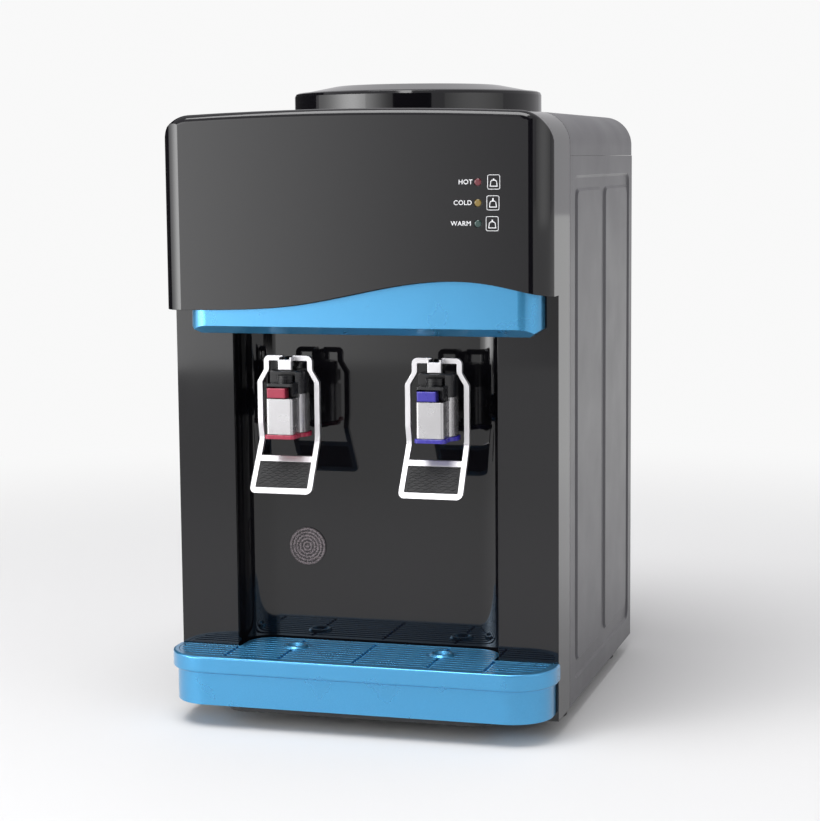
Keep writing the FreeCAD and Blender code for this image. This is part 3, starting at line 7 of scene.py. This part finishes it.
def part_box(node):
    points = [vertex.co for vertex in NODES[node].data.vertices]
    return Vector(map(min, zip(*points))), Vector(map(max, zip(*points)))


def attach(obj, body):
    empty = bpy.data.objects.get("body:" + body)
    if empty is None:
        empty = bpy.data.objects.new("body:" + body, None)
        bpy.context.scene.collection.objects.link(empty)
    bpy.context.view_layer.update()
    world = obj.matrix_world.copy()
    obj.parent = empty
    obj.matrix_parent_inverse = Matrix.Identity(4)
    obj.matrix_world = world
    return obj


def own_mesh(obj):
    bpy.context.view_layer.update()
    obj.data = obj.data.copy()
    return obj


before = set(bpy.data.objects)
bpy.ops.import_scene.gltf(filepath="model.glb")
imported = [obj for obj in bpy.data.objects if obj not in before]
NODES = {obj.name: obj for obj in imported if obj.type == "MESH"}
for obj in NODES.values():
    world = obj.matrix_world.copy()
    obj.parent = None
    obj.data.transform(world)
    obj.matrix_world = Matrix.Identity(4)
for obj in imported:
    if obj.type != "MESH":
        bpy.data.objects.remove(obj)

bpy.context.view_layer.update()
MM = 0.001

# ---------------------------------------------------------------- places read from the frame
FASCIA_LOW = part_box("fascia_panel")[0]
LABEL_LOW, LABEL_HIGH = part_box("round_label")
LIGHTS = {word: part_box(node) for word, node in
          (("HOT", "hot_light"), ("COLD", "cold_light"), ("WARM", "warm_light"))}

FLANGE_TOP = 0.4309     # just under the top face of the side panels' flanges
SEAM_LIFT = 0.00065     # of the 0.8 mm under the cover

# ---------------------------------------------------------------- camera
CAMERA_AT = Vector((0.4683, -1.6210, 0.4300))
CAMERA_YAW = math.radians(16.14)
CAMERA_PITCH = math.radians(6.85)
CAMERA_ROLL = math.radians(-0.52)
CLIP_NEAR = 0.05
CLIP_FAR = 60.0
SENSOR = 36.0
FOCAL = 91.6005         # mm, on the 36 mm sensor


def make_camera():
    """Camera at the viewing angle: to the right of the object and a little above it."""
    data = bpy.data.cameras.new("camera")
    data.sensor_width = SENSOR
    data.lens = FOCAL
    data.clip_start = CLIP_NEAR
    data.clip_end = CLIP_FAR
    cam = bpy.data.objects.new("camera", data)
    bpy.context.scene.collection.objects.link(cam)
    forward = Vector((-math.sin(CAMERA_YAW) * math.cos(CAMERA_PITCH),
                      math.cos(CAMERA_YAW) * math.cos(CAMERA_PITCH), -math.sin(CAMERA_PITCH)))
    right = Vector((math.cos(CAMERA_YAW), math.sin(CAMERA_YAW), 0))
    up = right.cross(forward)
    side = right * math.cos(CAMERA_ROLL) + up * math.sin(CAMERA_ROLL)
    top = up * math.cos(CAMERA_ROLL) - right * math.sin(CAMERA_ROLL)
    turn = Matrix((side, top, -forward)).transposed()
    cam.matrix_world = Matrix.Translation(CAMERA_AT) @ turn.to_4x4()
    bpy.context.scene.camera = cam


# ---------------------------------------------------------------- material helpers
class Surface:
    """A node material with its Principled shader and a few shortcuts."""

    def __init__(self, name, metallic=0.0, ior=1.5, coat=0.0, coat_roughness=0.05):
        self.mat = bpy.data.materials.new(name)
        self.mat.use_nodes = True
        self.tree = self.mat.node_tree
        self.shader = self.tree.nodes["Principled BSDF"]
        self.set("Metallic", metallic)
        self.set("IOR", ior)
        self.set("Coat Weight", coat)
        self.set("Coat Roughness", coat_roughness)
        self.coords = self.tree.nodes.new("ShaderNodeTexCoord").outputs["Object"]

    def set(self, socket, value):
        self.shader.inputs[socket].default_value = value

    def node(self, kind, **values):
        made = self.tree.nodes.new("ShaderNode" + kind)
        for key, value in values.items():
            setattr(made, key, value)
        return made

    def link(self, out, into):
        self.tree.links.new(out, into)

    def stretched(self, scale):
        """Object coordinates multiplied by a vector."""
        mapping = self.node("Mapping")
        mapping.inputs["Scale"].default_value = scale
        self.link(self.coords, mapping.inputs["Vector"])
        return mapping.outputs["Vector"]

    def noise(self, scale, detail=2.0, vector=None):
        made = self.node("TexNoise")
        made.inputs["Scale"].default_value = scale
        made.inputs["Detail"].default_value = detail
        self.link(vector or self.coords, made.inputs["Vector"])
        return made.outputs["Fac"]

    def spread(self, value, low, high, start=0.3, end=0.7):
        """Map a texture value onto low..high."""
        made = self.node("MapRange")
        made.inputs["From Min"].default_value = start
        made.inputs["From Max"].default_value = end
        made.inputs["To Min"].default_value = low
        made.inputs["To Max"].default_value = high
        self.link(value, made.inputs["Value"])
        return made.outputs["Result"]

    def blend(self, factor, first, second):
        """Mix two colours, or a colour and a colour output."""
        made = self.node("Mix", data_type="RGBA")
        self.link(factor, made.inputs["Factor"])
        for socket, value in (("A", first), ("B", second)):
            target = [i for i in made.inputs if i.name == socket and i.type == "RGBA"][0]
            if isinstance(value, tuple):
                target.default_value = (*value, 1.0)
            else:
                self.link(value, target)
        return [o for o in made.outputs if o.type == "RGBA"][0]

    def colour(self, base, vary=0.06, scale=9.0):
        """Base colour with a slight broad variation."""
        dark = tuple(c * (1 - vary) for c in base)
        light = tuple(min(c * (1 + vary), 1.0) for c in base)
        self.link(self.blend(self.noise(scale, 3.0), dark, light), self.shader.inputs["Base Color"])

    def roughness(self, low, high, scale=25.0):
        self.link(self.spread(self.noise(scale, 4.0), low, high), self.shader.inputs["Roughness"])

    def relief(self, height, depth, edge=0.0003):
        """Bump from a height value, with softened edges."""
        bump = self.node("Bump")
        bump.inputs["Strength"].default_value = 1.0
        bump.inputs["Distance"].default_value = depth
        self.link(height, bump.inputs["Height"])
        if edge > 0:
            bevel = self.node("Bevel", samples=6)
            bevel.inputs["Radius"].default_value = edge
            self.link(bevel.outputs["Normal"], bump.inputs["Normal"])
        self.link(bump.outputs["Normal"], self.shader.inputs["Normal"])


def gloss_black():
    """Polished black moulding with the faint long waves of a moulded sheet."""
    s = Surface("gloss_black_plastic", ior=1.5)
    s.colour((0.0045, 0.0042, 0.0055), 0.2, 5.0)
    s.roughness(0.035, 0.07, 14.0)
    s.relief(s.noise(16.0, 1.0), 0.00003, 0.0005)
    return s.mat


def side_paint(name):
    """Dark grey satin powder coat with fine orange peel."""
    s = Surface(name, ior=1.5)
    s.colour((0.060, 0.058, 0.066), 0.04, 3.0)
    s.roughness(0.30, 0.36, 20.0)
    s.relief(s.noise(700.0, 2.0), 0.000012, 0.0004)
    return s.mat


def matt_black():
    """Fine-textured black moulding."""
    s = Surface("matt_black_plastic")
    s.colour((0.012, 0.012, 0.013), 0.15, 40.0)
    s.roughness(0.42, 0.55, 60.0)
    s.relief(s.noise(2500.0, 2.0), 0.00003, 0.0003)
    return s.mat


def tap_black():
    """Semi-gloss black of the tap bodies."""
    s = Surface("tap_black_plastic")
    s.colour((0.010, 0.010, 0.012), 0.15, 40.0)
    s.roughness(0.22, 0.3, 60.0)
    s.relief(s.noise(1500.0, 2.0), 0.00002, 0.0003)
    return s.mat


def black_rubber():
    """Matt rubber."""
    s = Surface("black_rubber", ior=1.45)
    s.colour((0.016, 0.016, 0.017), 0.2, 60.0)
    s.roughness(0.55, 0.7, 80.0)
    s.relief(s.noise(1800.0, 3.0), 0.00006, 0.0003)
    return s.mat


def metallic_blue():
    """Blue metallic paint under a clear coat, with fine flakes."""
    s = Surface("metallic_blue_paint", metallic=0.75, ior=1.5, coat=0.5, coat_roughness=0.08)
    flakes = s.node("TexVoronoi")
    flakes.inputs["Scale"].default_value = 2600.0
    s.link(s.coords, flakes.inputs["Vector"])
    factor = s.spread(flakes.outputs["Distance"], 0.0, 1.0, 0.1, 0.7)
    base = s.blend(factor, (0.050, 0.280, 0.530), (0.075, 0.340, 0.620))
    s.link(base, s.shader.inputs["Base Color"])
    s.roughness(0.26, 0.34, 40.0)
    s.relief(flakes.outputs["Distance"], 0.00001, 0.0004)
    return s.mat


def silver_paint(name, shade, rough):
    """Satin silver paint with a fine metal grain."""
    s = Surface(name, metallic=0.9, ior=1.5, coat=0.2, coat_roughness=0.12)
    s.colour((shade, shade * 0.985, shade * 1.01), 0.03, 120.0)
    s.roughness(rough, rough + 0.07, 90.0)
    s.relief(s.noise(3200.0, 2.0), 0.000012, 0.00035)
    return s.mat


def coloured_plastic(name, colour):
    """Semi-gloss coloured moulding."""
    s = Surface(name, coat=0.3, coat_roughness=0.08)
    s.colour(colour, 0.1, 90.0)
    s.roughness(0.24, 0.32, 90.0)
    s.relief(s.noise(1400.0, 2.0), 0.000015, 0.0004)
    return s.mat


def lens(name, colour, glow):
    """Tinted lens with a brighter heart."""
    s = Surface(name, coat=1.0, coat_roughness=0.02)
    s.colour(colour, 0.25, 700.0)
    s.roughness(0.08, 0.14, 200.0)
    s.set("Emission Color", (*glow, 1.0))
    s.set("Emission Strength", 0.03)
    s.relief(s.noise(900.0, 1.0), 0.00002, 0.0002)
    return s.mat


def brushed(name, colour, rough):
    """Brushed metal, its grain running up the part."""
    s = Surface(name, metallic=1.0)
    grain = s.noise(60.0, 3.0, s.stretched((30.0, 30.0, 1.5)))
    s.colour(colour, 0.06, 25.0)
    s.link(s.spread(grain, rough, rough + 0.12), s.shader.inputs["Roughness"])
    s.relief(grain, 0.00003, 0.0003)
    return s.mat


def pale_plastic(name, colour, rough=0.4, through=0.0):
    """Natural plastic or silicone, a little uneven."""
    s = Surface(name)
    s.colour(colour, 0.04, 20.0)
    s.roughness(rough, rough + 0.1, 50.0)
    s.set("Transmission Weight", through)
    s.relief(s.noise(700.0, 2.0), 0.00004, 0.0003)
    return s.mat


def foam():
    """Closed-cell foam with small pits."""
    s = Surface("insulation_foam")
    cells = s.node("TexVoronoi")
    cells.inputs["Scale"].default_value = 450.0
    s.link(s.coords, cells.inputs["Vector"])
    s.colour((0.78, 0.74, 0.62), 0.08, 30.0)
    s.roughness(0.8, 0.95, 60.0)
    s.relief(cells.outputs["Distance"], 0.0004, 0.0)
    return s.mat


def circuit_board():
    """Green board with paler tracks."""
    s = Surface("circuit_board", coat=0.3)
    tracks = s.node("TexBrick")
    tracks.inputs["Scale"].default_value = 160.0
    tracks.inputs["Color1"].default_value = (0.01, 0.10, 0.04, 1)
    tracks.inputs["Color2"].default_value = (0.015, 0.13, 0.05, 1)
    tracks.inputs["Mortar"].default_value = (0.08, 0.25, 0.10, 1)
    s.link(s.coords, tracks.inputs["Vector"])
    s.link(tracks.outputs["Color"], s.shader.inputs["Base Color"])
    s.roughness(0.3, 0.4, 60.0)
    s.relief(tracks.outputs["Fac"], 0.00003, 0.0002)
    return s.mat


def label_foil():
    """Round foil label: rings and specks on a dark ground."""
    s = Surface("label_foil", metallic=0.5)
    centre = (LABEL_LOW + LABEL_HIGH) / 2
    local = s.node("Mapping")
    local.inputs["Location"].default_value = (-centre.x, -centre.y, -centre.z)
    s.link(s.coords, local.inputs["Vector"])
    distance = s.node("VectorMath", operation="LENGTH")
    s.link(local.outputs["Vector"], distance.inputs[0])
    rings = s.node("Math", operation="SINE")
    scaled = s.node("Math", operation="MULTIPLY")
    scaled.inputs[1].default_value = 2 * math.pi / (2.6 * MM)
    s.link(distance.outputs["Value"], scaled.inputs[0])
    s.link(scaled.outputs["Value"], rings.inputs[0])
    specks = s.noise(1500.0, 3.0)
    both = s.node("Math", operation="MULTIPLY_ADD")
    both.inputs[1].default_value = 0.09
    s.link(rings.outputs["Value"], both.inputs[0])
    s.link(specks, both.inputs[2])
    factor = s.spread(both.outputs["Value"], 0.0, 1.0, 0.47, 0.58)
    shade = s.blend(factor, (0.018, 0.016, 0.018), (0.20, 0.17, 0.18))
    s.link(shade, s.shader.inputs["Base Color"])
    s.roughness(0.3, 0.5, 300.0)
    s.relief(specks, 0.00003, 0.0)
    return s.mat


def printed_white():
    """White ink of the icons and words."""
    s = Surface("printed_white")
    s.colour((0.72, 0.72, 0.74), 0.08, 400.0)
    s.roughness(0.45, 0.6, 300.0)
    s.relief(s.noise(2000.0, 2.0), 0.00001, 0.0)
    return s.mat


# ---------------------------------------------------------------- assignment
def assign_materials():
    """One material per kind of piece, by CAD node."""
    black = gloss_black()
    paint = side_paint("side_powder_coat")
    cover_paint = side_paint("cover_powder_coat")
    matt = matt_black()
    rubber = black_rubber()
    blue_paint = metallic_blue()
    red = coloured_plastic("red_plastic", (0.30, 0.014, 0.045))
    blue = coloured_plastic("blue_plastic", (0.03, 0.022, 0.30))
    steel = brushed("brushed_steel", (0.55, 0.55, 0.56), 0.25)
    aluminium = brushed("milled_aluminium", (0.72, 0.73, 0.75), 0.3)
    white = pale_plastic("natural_plastic", (0.80, 0.80, 0.76))
    silicone = pale_plastic("silicone_hose", (0.75, 0.76, 0.74), 0.3, 0.3)
    soft = foam()
    board = circuit_board()
    lever = silver_paint("lever_silver", 0.68, 0.34)
    shell = silver_paint("shell_silver", 0.52, 0.22)
    body = tap_black()
    by_node = {
        black: ["front_frame", "alcove_liner", "fascia_panel", "bottle_collar", "bottle_funnel"],
        paint: ["right_side_panel", "left_side_panel", "rear_panel"],
        cover_paint: ["top_cover"],
        matt: ["base_plate", "fan_frame", "fan_rotor", "thermostats", "drain_pipe", "drain_cap",
               "switch_bases", "cord_gland"],
        rubber: ["rubber_feet", "tap_gaskets", "hot_lever_pad", "cold_lever_pad"],
        blue_paint: ["wave_trim", "drip_tray", "drip_grille"],
        red: ["hot_tap_skirt", "hot_lock_button", "hot_switch"],
        blue: ["cold_tap_skirt", "cold_lock_button", "cold_switch"],
        steel: ["rear_screws", "pivot_pins", "cold_tank", "hot_tank", "band_heater",
                "hot_valve_spring", "cold_valve_spring"],
        aluminium: ["cold_block", "heat_sink"],
        white: ["feed_spike", "tap_nuts", "tank_lid", "peltier_module",
                "hot_valve_stem", "cold_valve_stem"],
        silicone: ["water_hoses"],
        soft: ["tank_foam", "hot_jacket"],
        board: ["light_board", "power_board"],
        lever: ["hot_lever", "cold_lever"],
        shell: ["hot_tap_shell", "cold_tap_shell"],
        body: ["hot_tap_body", "cold_tap_body"],
        lens("lens_red", (0.10, 0.004, 0.012), (0.5, 0.01, 0.03)): ["hot_light"],
        lens("lens_yellow", (0.16, 0.10, 0.008), (0.6, 0.45, 0.03)): ["cold_light"],
        lens("lens_green", (0.006, 0.035, 0.03), (0.01, 0.10, 0.08)): ["warm_light"],
        label_foil(): ["round_label"],
    }
    for mat, names in by_node.items():
        for name in names:
            NODES[name].data.materials.clear()
            NODES[name].data.materials.append(mat)


# ---------------------------------------------------------------- printing on the fascia
PRINT_T = 0.06 * MM
PRINT_Y = FASCIA_LOW.y - 0.02 * MM
WORD_SIZE = 4.75 * MM
WORD_GAP = 0.4 * MM
ICON_GAP = 8.4 * MM
ROW_STEP = 0.6 * MM
ICON_HALF_W = 4.7 * MM
ICON_HALF_H = 5.3 * MM
ICON_R = 1.4 * MM
ICON_LINE = 0.42 * MM
LETTER_SPACING = 1.08
LETTER_WEIGHT = 0.06 * MM
LID_HEIGHT = {"HOT": 2.4, "COLD": 3.4, "WARM": 2.9}


def flat_curve(name, outlines, mat):
    """Thin printed shape on the fascia from closed outlines of (x, z); inner outlines are holes."""
    data = bpy.data.curves.new(name, "CURVE")
    data.dimensions = "2D"
    data.fill_mode = "BOTH"
    data.extrude = PRINT_T
    for outline in outlines:
        spline = data.splines.new("POLY")
        spline.points.add(len(outline) - 1)
        for point, (x, z) in zip(spline.points, outline):
            point.co = (x, z, 0, 1)
        spline.use_cyclic_u = True
    data.materials.append(mat)
    return stand_on_fascia(bpy.data.objects.new(name, data), Vector((0, PRINT_Y, 0)))


def stand_on_fascia(obj, place):
    """Turn a flat object upright, facing the front, and let it ride on the cabinet."""
    bpy.context.scene.collection.objects.link(obj)
    obj.rotation_euler = (math.pi / 2, 0, 0)
    obj.location = place
    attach(obj, "cabinet")
    return obj


def round_rect(x, z, half_w, half_h, radius, steps=6):
    """Outline of a rounded rectangle."""
    points = []
    for i, (sx, sz) in enumerate(((1, 1), (-1, 1), (-1, -1), (1, -1))):
        for k in range(steps + 1):
            angle = math.pi / 2 * (i + k / steps)
            points.append((x + sx * (half_w - radius) + radius * math.cos(angle),
                           z + sz * (half_h - radius) + radius * math.sin(angle)))
    return points


def cup_outlines(x, z, lid):
    """A small generic jug: tapered body with a hollow, a neck and a lid knob at the given height."""
    body = [(-2.9, -3.3), (2.9, -3.3), (2.4, 0.6), (1.3, 1.6), (-1.3, 1.6), (-2.4, 0.6)]
    hollow = [(-2.2, -2.7), (2.2, -2.7), (1.9, 0.3), (1.0, 1.0), (-1.0, 1.0), (-1.9, 0.3)]
    knob = [(-0.5, 1.6), (0.5, 1.6), (0.5, lid), (-0.5, lid)]
    shapes = []
    for shape in (body, hollow, knob):
        shapes.append([(x + u * MM, z + v * MM) for u, v in shape])
    return shapes


def print_panel():
    """Words and icons beside the three lights."""
    ink = printed_white()
    for row, (word, (low, high)) in enumerate(LIGHTS.items()):
        middle = (low + high) / 2
        step = -row * ROW_STEP
        data = bpy.data.curves.new("word_" + word.lower(), "FONT")
        data.body = word
        data.size = WORD_SIZE
        data.extrude = PRINT_T
        data.align_x = "RIGHT"
        data.align_y = "CENTER"
        data.space_character = LETTER_SPACING
        data.offset = LETTER_WEIGHT
        data.materials.append(ink)
        text = bpy.data.objects.new("word_" + word.lower(), data)
        stand_on_fascia(text, Vector((low.x - WORD_GAP + step, PRINT_Y, middle.z)))
        x = high.x + ICON_GAP + step
        ring = [round_rect(x, middle.z, ICON_HALF_W, ICON_HALF_H, ICON_R),
                round_rect(x, middle.z, ICON_HALF_W - ICON_LINE, ICON_HALF_H - ICON_LINE,
                           ICON_R - ICON_LINE)]
        flat_curve("frame_" + word.lower(), ring, ink)
        jug = cup_outlines(x, middle.z, LID_HEIGHT[word])
        flat_curve("icon_" + word.lower(), jug, ink)


# ---------------------------------------------------------------- waves on the lever pads
WAVE_ROWS = 10
WAVE_LENGTH = 7.0 * MM
WAVE_HEIGHT = 0.45 * MM
WAVE_R = 0.38 * MM
WAVE_INSET = 2.0 * MM
WAVE_STEPS = 64


def pad_waves(side, mat):
    """Wavy ribs across the front of a lever pad, riding on the lever."""
    low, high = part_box(side + "_lever_pad")
    corners = [v.co for v in NODES[side + "_lever_pad"].data.vertices]
    top_y = min(v.y for v in corners if v.z > high.z - 1 * MM)
    slope = (top_y - low.y) / (high.z - low.z)
    data = bpy.data.curves.new(side + "_pad_waves", "CURVE")
    data.dimensions = "3D"
    data.bevel_depth = WAVE_R
    data.bevel_resolution = 2
    data.use_fill_caps = True
    for row in range(WAVE_ROWS):
        z = low.z + (high.z - low.z) * (row + 0.7) / (WAVE_ROWS + 0.4)
        spline = data.splines.new("POLY")
        spline.points.add(WAVE_STEPS)
        for i, point in enumerate(spline.points):
            x = low.x + WAVE_INSET + (high.x - low.x - 2 * WAVE_INSET) * i / WAVE_STEPS
            dz = WAVE_HEIGHT * math.sin(2 * math.pi * (x - low.x) / WAVE_LENGTH + row * math.pi)
            y = low.y + (z + dz - low.z) * slope
            point.co = (x, y, z + dz, 1)
    data.materials.append(mat)
    obj = bpy.data.objects.new(side + "_pad_waves", data)
    bpy.context.scene.collection.objects.link(obj)
    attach(obj, side + "_lever")


# ---------------------------------------------------------------- studio
FLOOR_HALF = 14.0
FLOOR_SHADE = 0.70
FLOOR_NEAR = 0.35       # the floor's own shade ends here
FLOOR_FAR = 1.5         # and is all backdrop from here
BACKDROP = 0.945
SURROUND = (0.98, 0.97, 1.0)
SURROUND_STRENGTH = 0.64
CARD_R = 2.7
CARD_STEPS = 48
DARK = 0.001            # lowest peak of a card's brightness


def emission_material(name):
    """White light-giving material; its strength is linked by the caller."""
    mat = bpy.data.materials.new(name)
    mat.use_nodes = True
    tree = mat.node_tree
    tree.nodes.clear()
    out = tree.nodes.new("ShaderNodeOutputMaterial")
    glow = tree.nodes.new("ShaderNodeEmission")
    glow.inputs["Color"].default_value = (1.0, 1.0, 1.0, 1.0)
    tree.links.new(glow.outputs["Emission"], out.inputs["Surface"])
    return mat, tree, glow


def curved_card(name, start, end, low_z, high_z, stops):
    """Curved soft card round the object, from azimuth start to end in degrees.
    0 is in front and 90 on the right. stops gives its brightness at even steps along it."""
    mesh = bpy.data.meshes.new(name)
    verts = []
    faces = []
    for i in range(CARD_STEPS + 1):
        angle = math.radians(start + (end - start) * i / CARD_STEPS)
        for z in (low_z, high_z):
            verts.append((CARD_R * math.sin(angle), -CARD_R * math.cos(angle), z))
    for i in range(CARD_STEPS):
        faces.append((2 * i, 2 * i + 2, 2 * i + 3, 2 * i + 1))
    mesh.from_pydata(verts, [], faces)
    layer = mesh.uv_layers.new(name="along")
    for loop in mesh.loops:
        layer.data[loop.index].uv = ((loop.vertex_index // 2) / CARD_STEPS, loop.vertex_index % 2)
    mat, tree, glow = emission_material(name)
    uv = tree.nodes.new("ShaderNodeUVMap")
    uv.uv_map = "along"
    split = tree.nodes.new("ShaderNodeSeparateXYZ")
    ramp = tree.nodes.new("ShaderNodeValToRGB")
    ramp.color_ramp.interpolation = "B_SPLINE"
    peak = max(stops + [DARK])
    for i, value in enumerate(stops):
        place = i / (len(stops) - 1)
        if i in (0, len(stops) - 1):
            element = ramp.color_ramp.elements[0 if i == 0 else -1]
            element.position = place
        else:
            element = ramp.color_ramp.elements.new(place)
        shade = value / peak
        element.color = (shade, shade, shade, 1)
    tree.links.new(uv.outputs["UV"], split.inputs["Vector"])
    tree.links.new(split.outputs["X"], ramp.inputs["Fac"])
    times = tree.nodes.new("ShaderNodeMath")
    times.operation = "MULTIPLY"
    times.inputs[1].default_value = peak
    tree.links.new(ramp.outputs["Color"], times.inputs[0])
    tree.links.new(times.outputs["Value"], glow.inputs["Strength"])
    mesh.materials.append(mat)
    card = bpy.data.objects.new(name, mesh)
    bpy.context.scene.collection.objects.link(card)
    card.visible_camera = False


def area_light(name, place, target, width, height, power):
    """Rectangular soft light aimed at a point."""
    data = bpy.data.lights.new(name, "AREA")
    data.shape = "RECTANGLE"
    data.size = width
    data.size_y = height
    data.energy = power
    lamp = bpy.data.objects.new(name, data)
    lamp.location = place
    lamp.rotation_euler = (Vector(target) - Vector(place)).to_track_quat("-Z", "Y").to_euler()
    bpy.context.scene.collection.objects.link(lamp)


def make_floor():
    """Plain pale floor."""
    mesh = bpy.data.meshes.new("floor")
    h = FLOOR_HALF
    mesh.from_pydata([(-h, -h, 0), (h, -h, 0), (h, h, 0), (-h, h, 0)], [], [(0, 1, 2, 3)])
    mat = bpy.data.materials.new("floor_white")
    mat.use_nodes = True
    shader = mat.node_tree.nodes["Principled BSDF"]
    shader.inputs["Base Color"].default_value = (FLOOR_SHADE, FLOOR_SHADE, FLOOR_SHADE, 1)
    shader.inputs["Roughness"].default_value = 0.75
    shader.inputs["Specular IOR Level"].default_value = 0.1
    tree = mat.node_tree
    coords = tree.nodes.new("ShaderNodeTexCoord")
    reach = tree.nodes.new("ShaderNodeVectorMath")
    reach.operation = "LENGTH"
    far = tree.nodes.new("ShaderNodeMapRange")
    far.interpolation_type = "SMOOTHSTEP"
    far.inputs["From Min"].default_value = FLOOR_NEAR
    far.inputs["From Max"].default_value = FLOOR_FAR
    glow = tree.nodes.new("ShaderNodeEmission")
    glow.inputs["Strength"].default_value = BACKDROP
    mix = tree.nodes.new("ShaderNodeMixShader")
    tree.links.new(coords.outputs["Object"], reach.inputs[0])
    tree.links.new(reach.outputs["Value"], far.inputs["Value"])
    tree.links.new(far.outputs["Result"], mix.inputs["Fac"])
    tree.links.new(shader.outputs["BSDF"], mix.inputs[1])
    tree.links.new(glow.outputs["Emission"], mix.inputs[2])
    tree.links.new(mix.outputs["Shader"], tree.nodes["Material Output"].inputs["Surface"])
    mesh.materials.append(mat)
    floor = bpy.data.objects.new("floor", mesh)
    bpy.context.scene.collection.objects.link(floor)


def make_world():
    """Pale background for the camera, dim surroundings for reflections."""
    world = bpy.data.worlds.new("studio")
    bpy.context.scene.world = world
    world.use_nodes = True
    tree = world.node_tree
    tree.nodes.clear()
    out = tree.nodes.new("ShaderNodeOutputWorld")
    seen = tree.nodes.new("ShaderNodeBackground")
    seen.inputs["Color"].default_value = (BACKDROP, BACKDROP, BACKDROP, 1)
    around = tree.nodes.new("ShaderNodeBackground")
    around.inputs["Color"].default_value = (*SURROUND, 1)
    around.inputs["Strength"].default_value = SURROUND_STRENGTH
    path = tree.nodes.new("ShaderNodeLightPath")
    mix = tree.nodes.new("ShaderNodeMixShader")
    tree.links.new(path.outputs["Is Camera Ray"], mix.inputs["Fac"])
    tree.links.new(around.outputs["Background"], mix.inputs[1])
    tree.links.new(seen.outputs["Background"], mix.inputs[2])
    tree.links.new(mix.outputs["Shader"], out.inputs["Surface"])


def make_studio():
    """Floor, background, cards that the gloss mirrors, and soft lights."""
    make_floor()
    make_world()
    curved_card("card_front_left", -7.0, -33.0, 0.02, 1.3, [0.62, 0.9, 1.4, 2.1, 2.9, 3.8, 4.6])
    curved_card("card_left", -33.0, -88.0, 0.02, 1.3, [5.6, 9.0, 7.5, 4.0, 2.0, 1.2])
    curved_card("card_dark_front", -7.0, 28.0, 0.05, 2.6, [0.0, 0.0])
    curved_card("card_dark_left", -150.0, -92.0, 0.05, 2.6, [0.05, 0.0])
    curved_card("card_right", 40.0, 100.0, 0.3, 2.0, [0.8, 1.6, 1.8, 1.4, 0.8])
    area_light("top_light", (-0.3, -0.9, 2.6), (0, 0, 0.2), 1.6, 1.6, 55)
    scene = bpy.context.scene
    scene.view_settings.view_transform = "Standard"
    scene.view_settings.look = "None"


def close_seams():
    """Raise the side panels' hidden top flanges towards the cover, so no light shows through the seam."""
    for name in ("right_side_panel", "left_side_panel"):
        panel = NODES[name]
        group = panel.vertex_groups.new(name="top_flange")
        top = [v.index for v in panel.data.vertices if v.co.z > FLANGE_TOP]
        group.add(top, 1.0, "REPLACE")
        lift = panel.modifiers.new("close_seam", "DISPLACE")
        lift.direction = "Z"
        lift.vertex_group = "top_flange"
        lift.mid_level = 0.0
        lift.strength = SEAM_LIFT


def shorten_springs():
    """Give each valve spring its own copy of its mesh data."""
    for side in ("hot", "cold"):
        spring = NODES[side + "_valve_spring"]
        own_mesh(spring)


# ---------------------------------------------------------------- build
assign_materials()
close_seams()
shorten_springs()
print_panel()
for side in ("hot", "cold"):
    pad_waves(side, NODES[side + "_lever_pad"].data.materials[0])
make_studio()
make_camera()

bpy.context.view_layer.update()
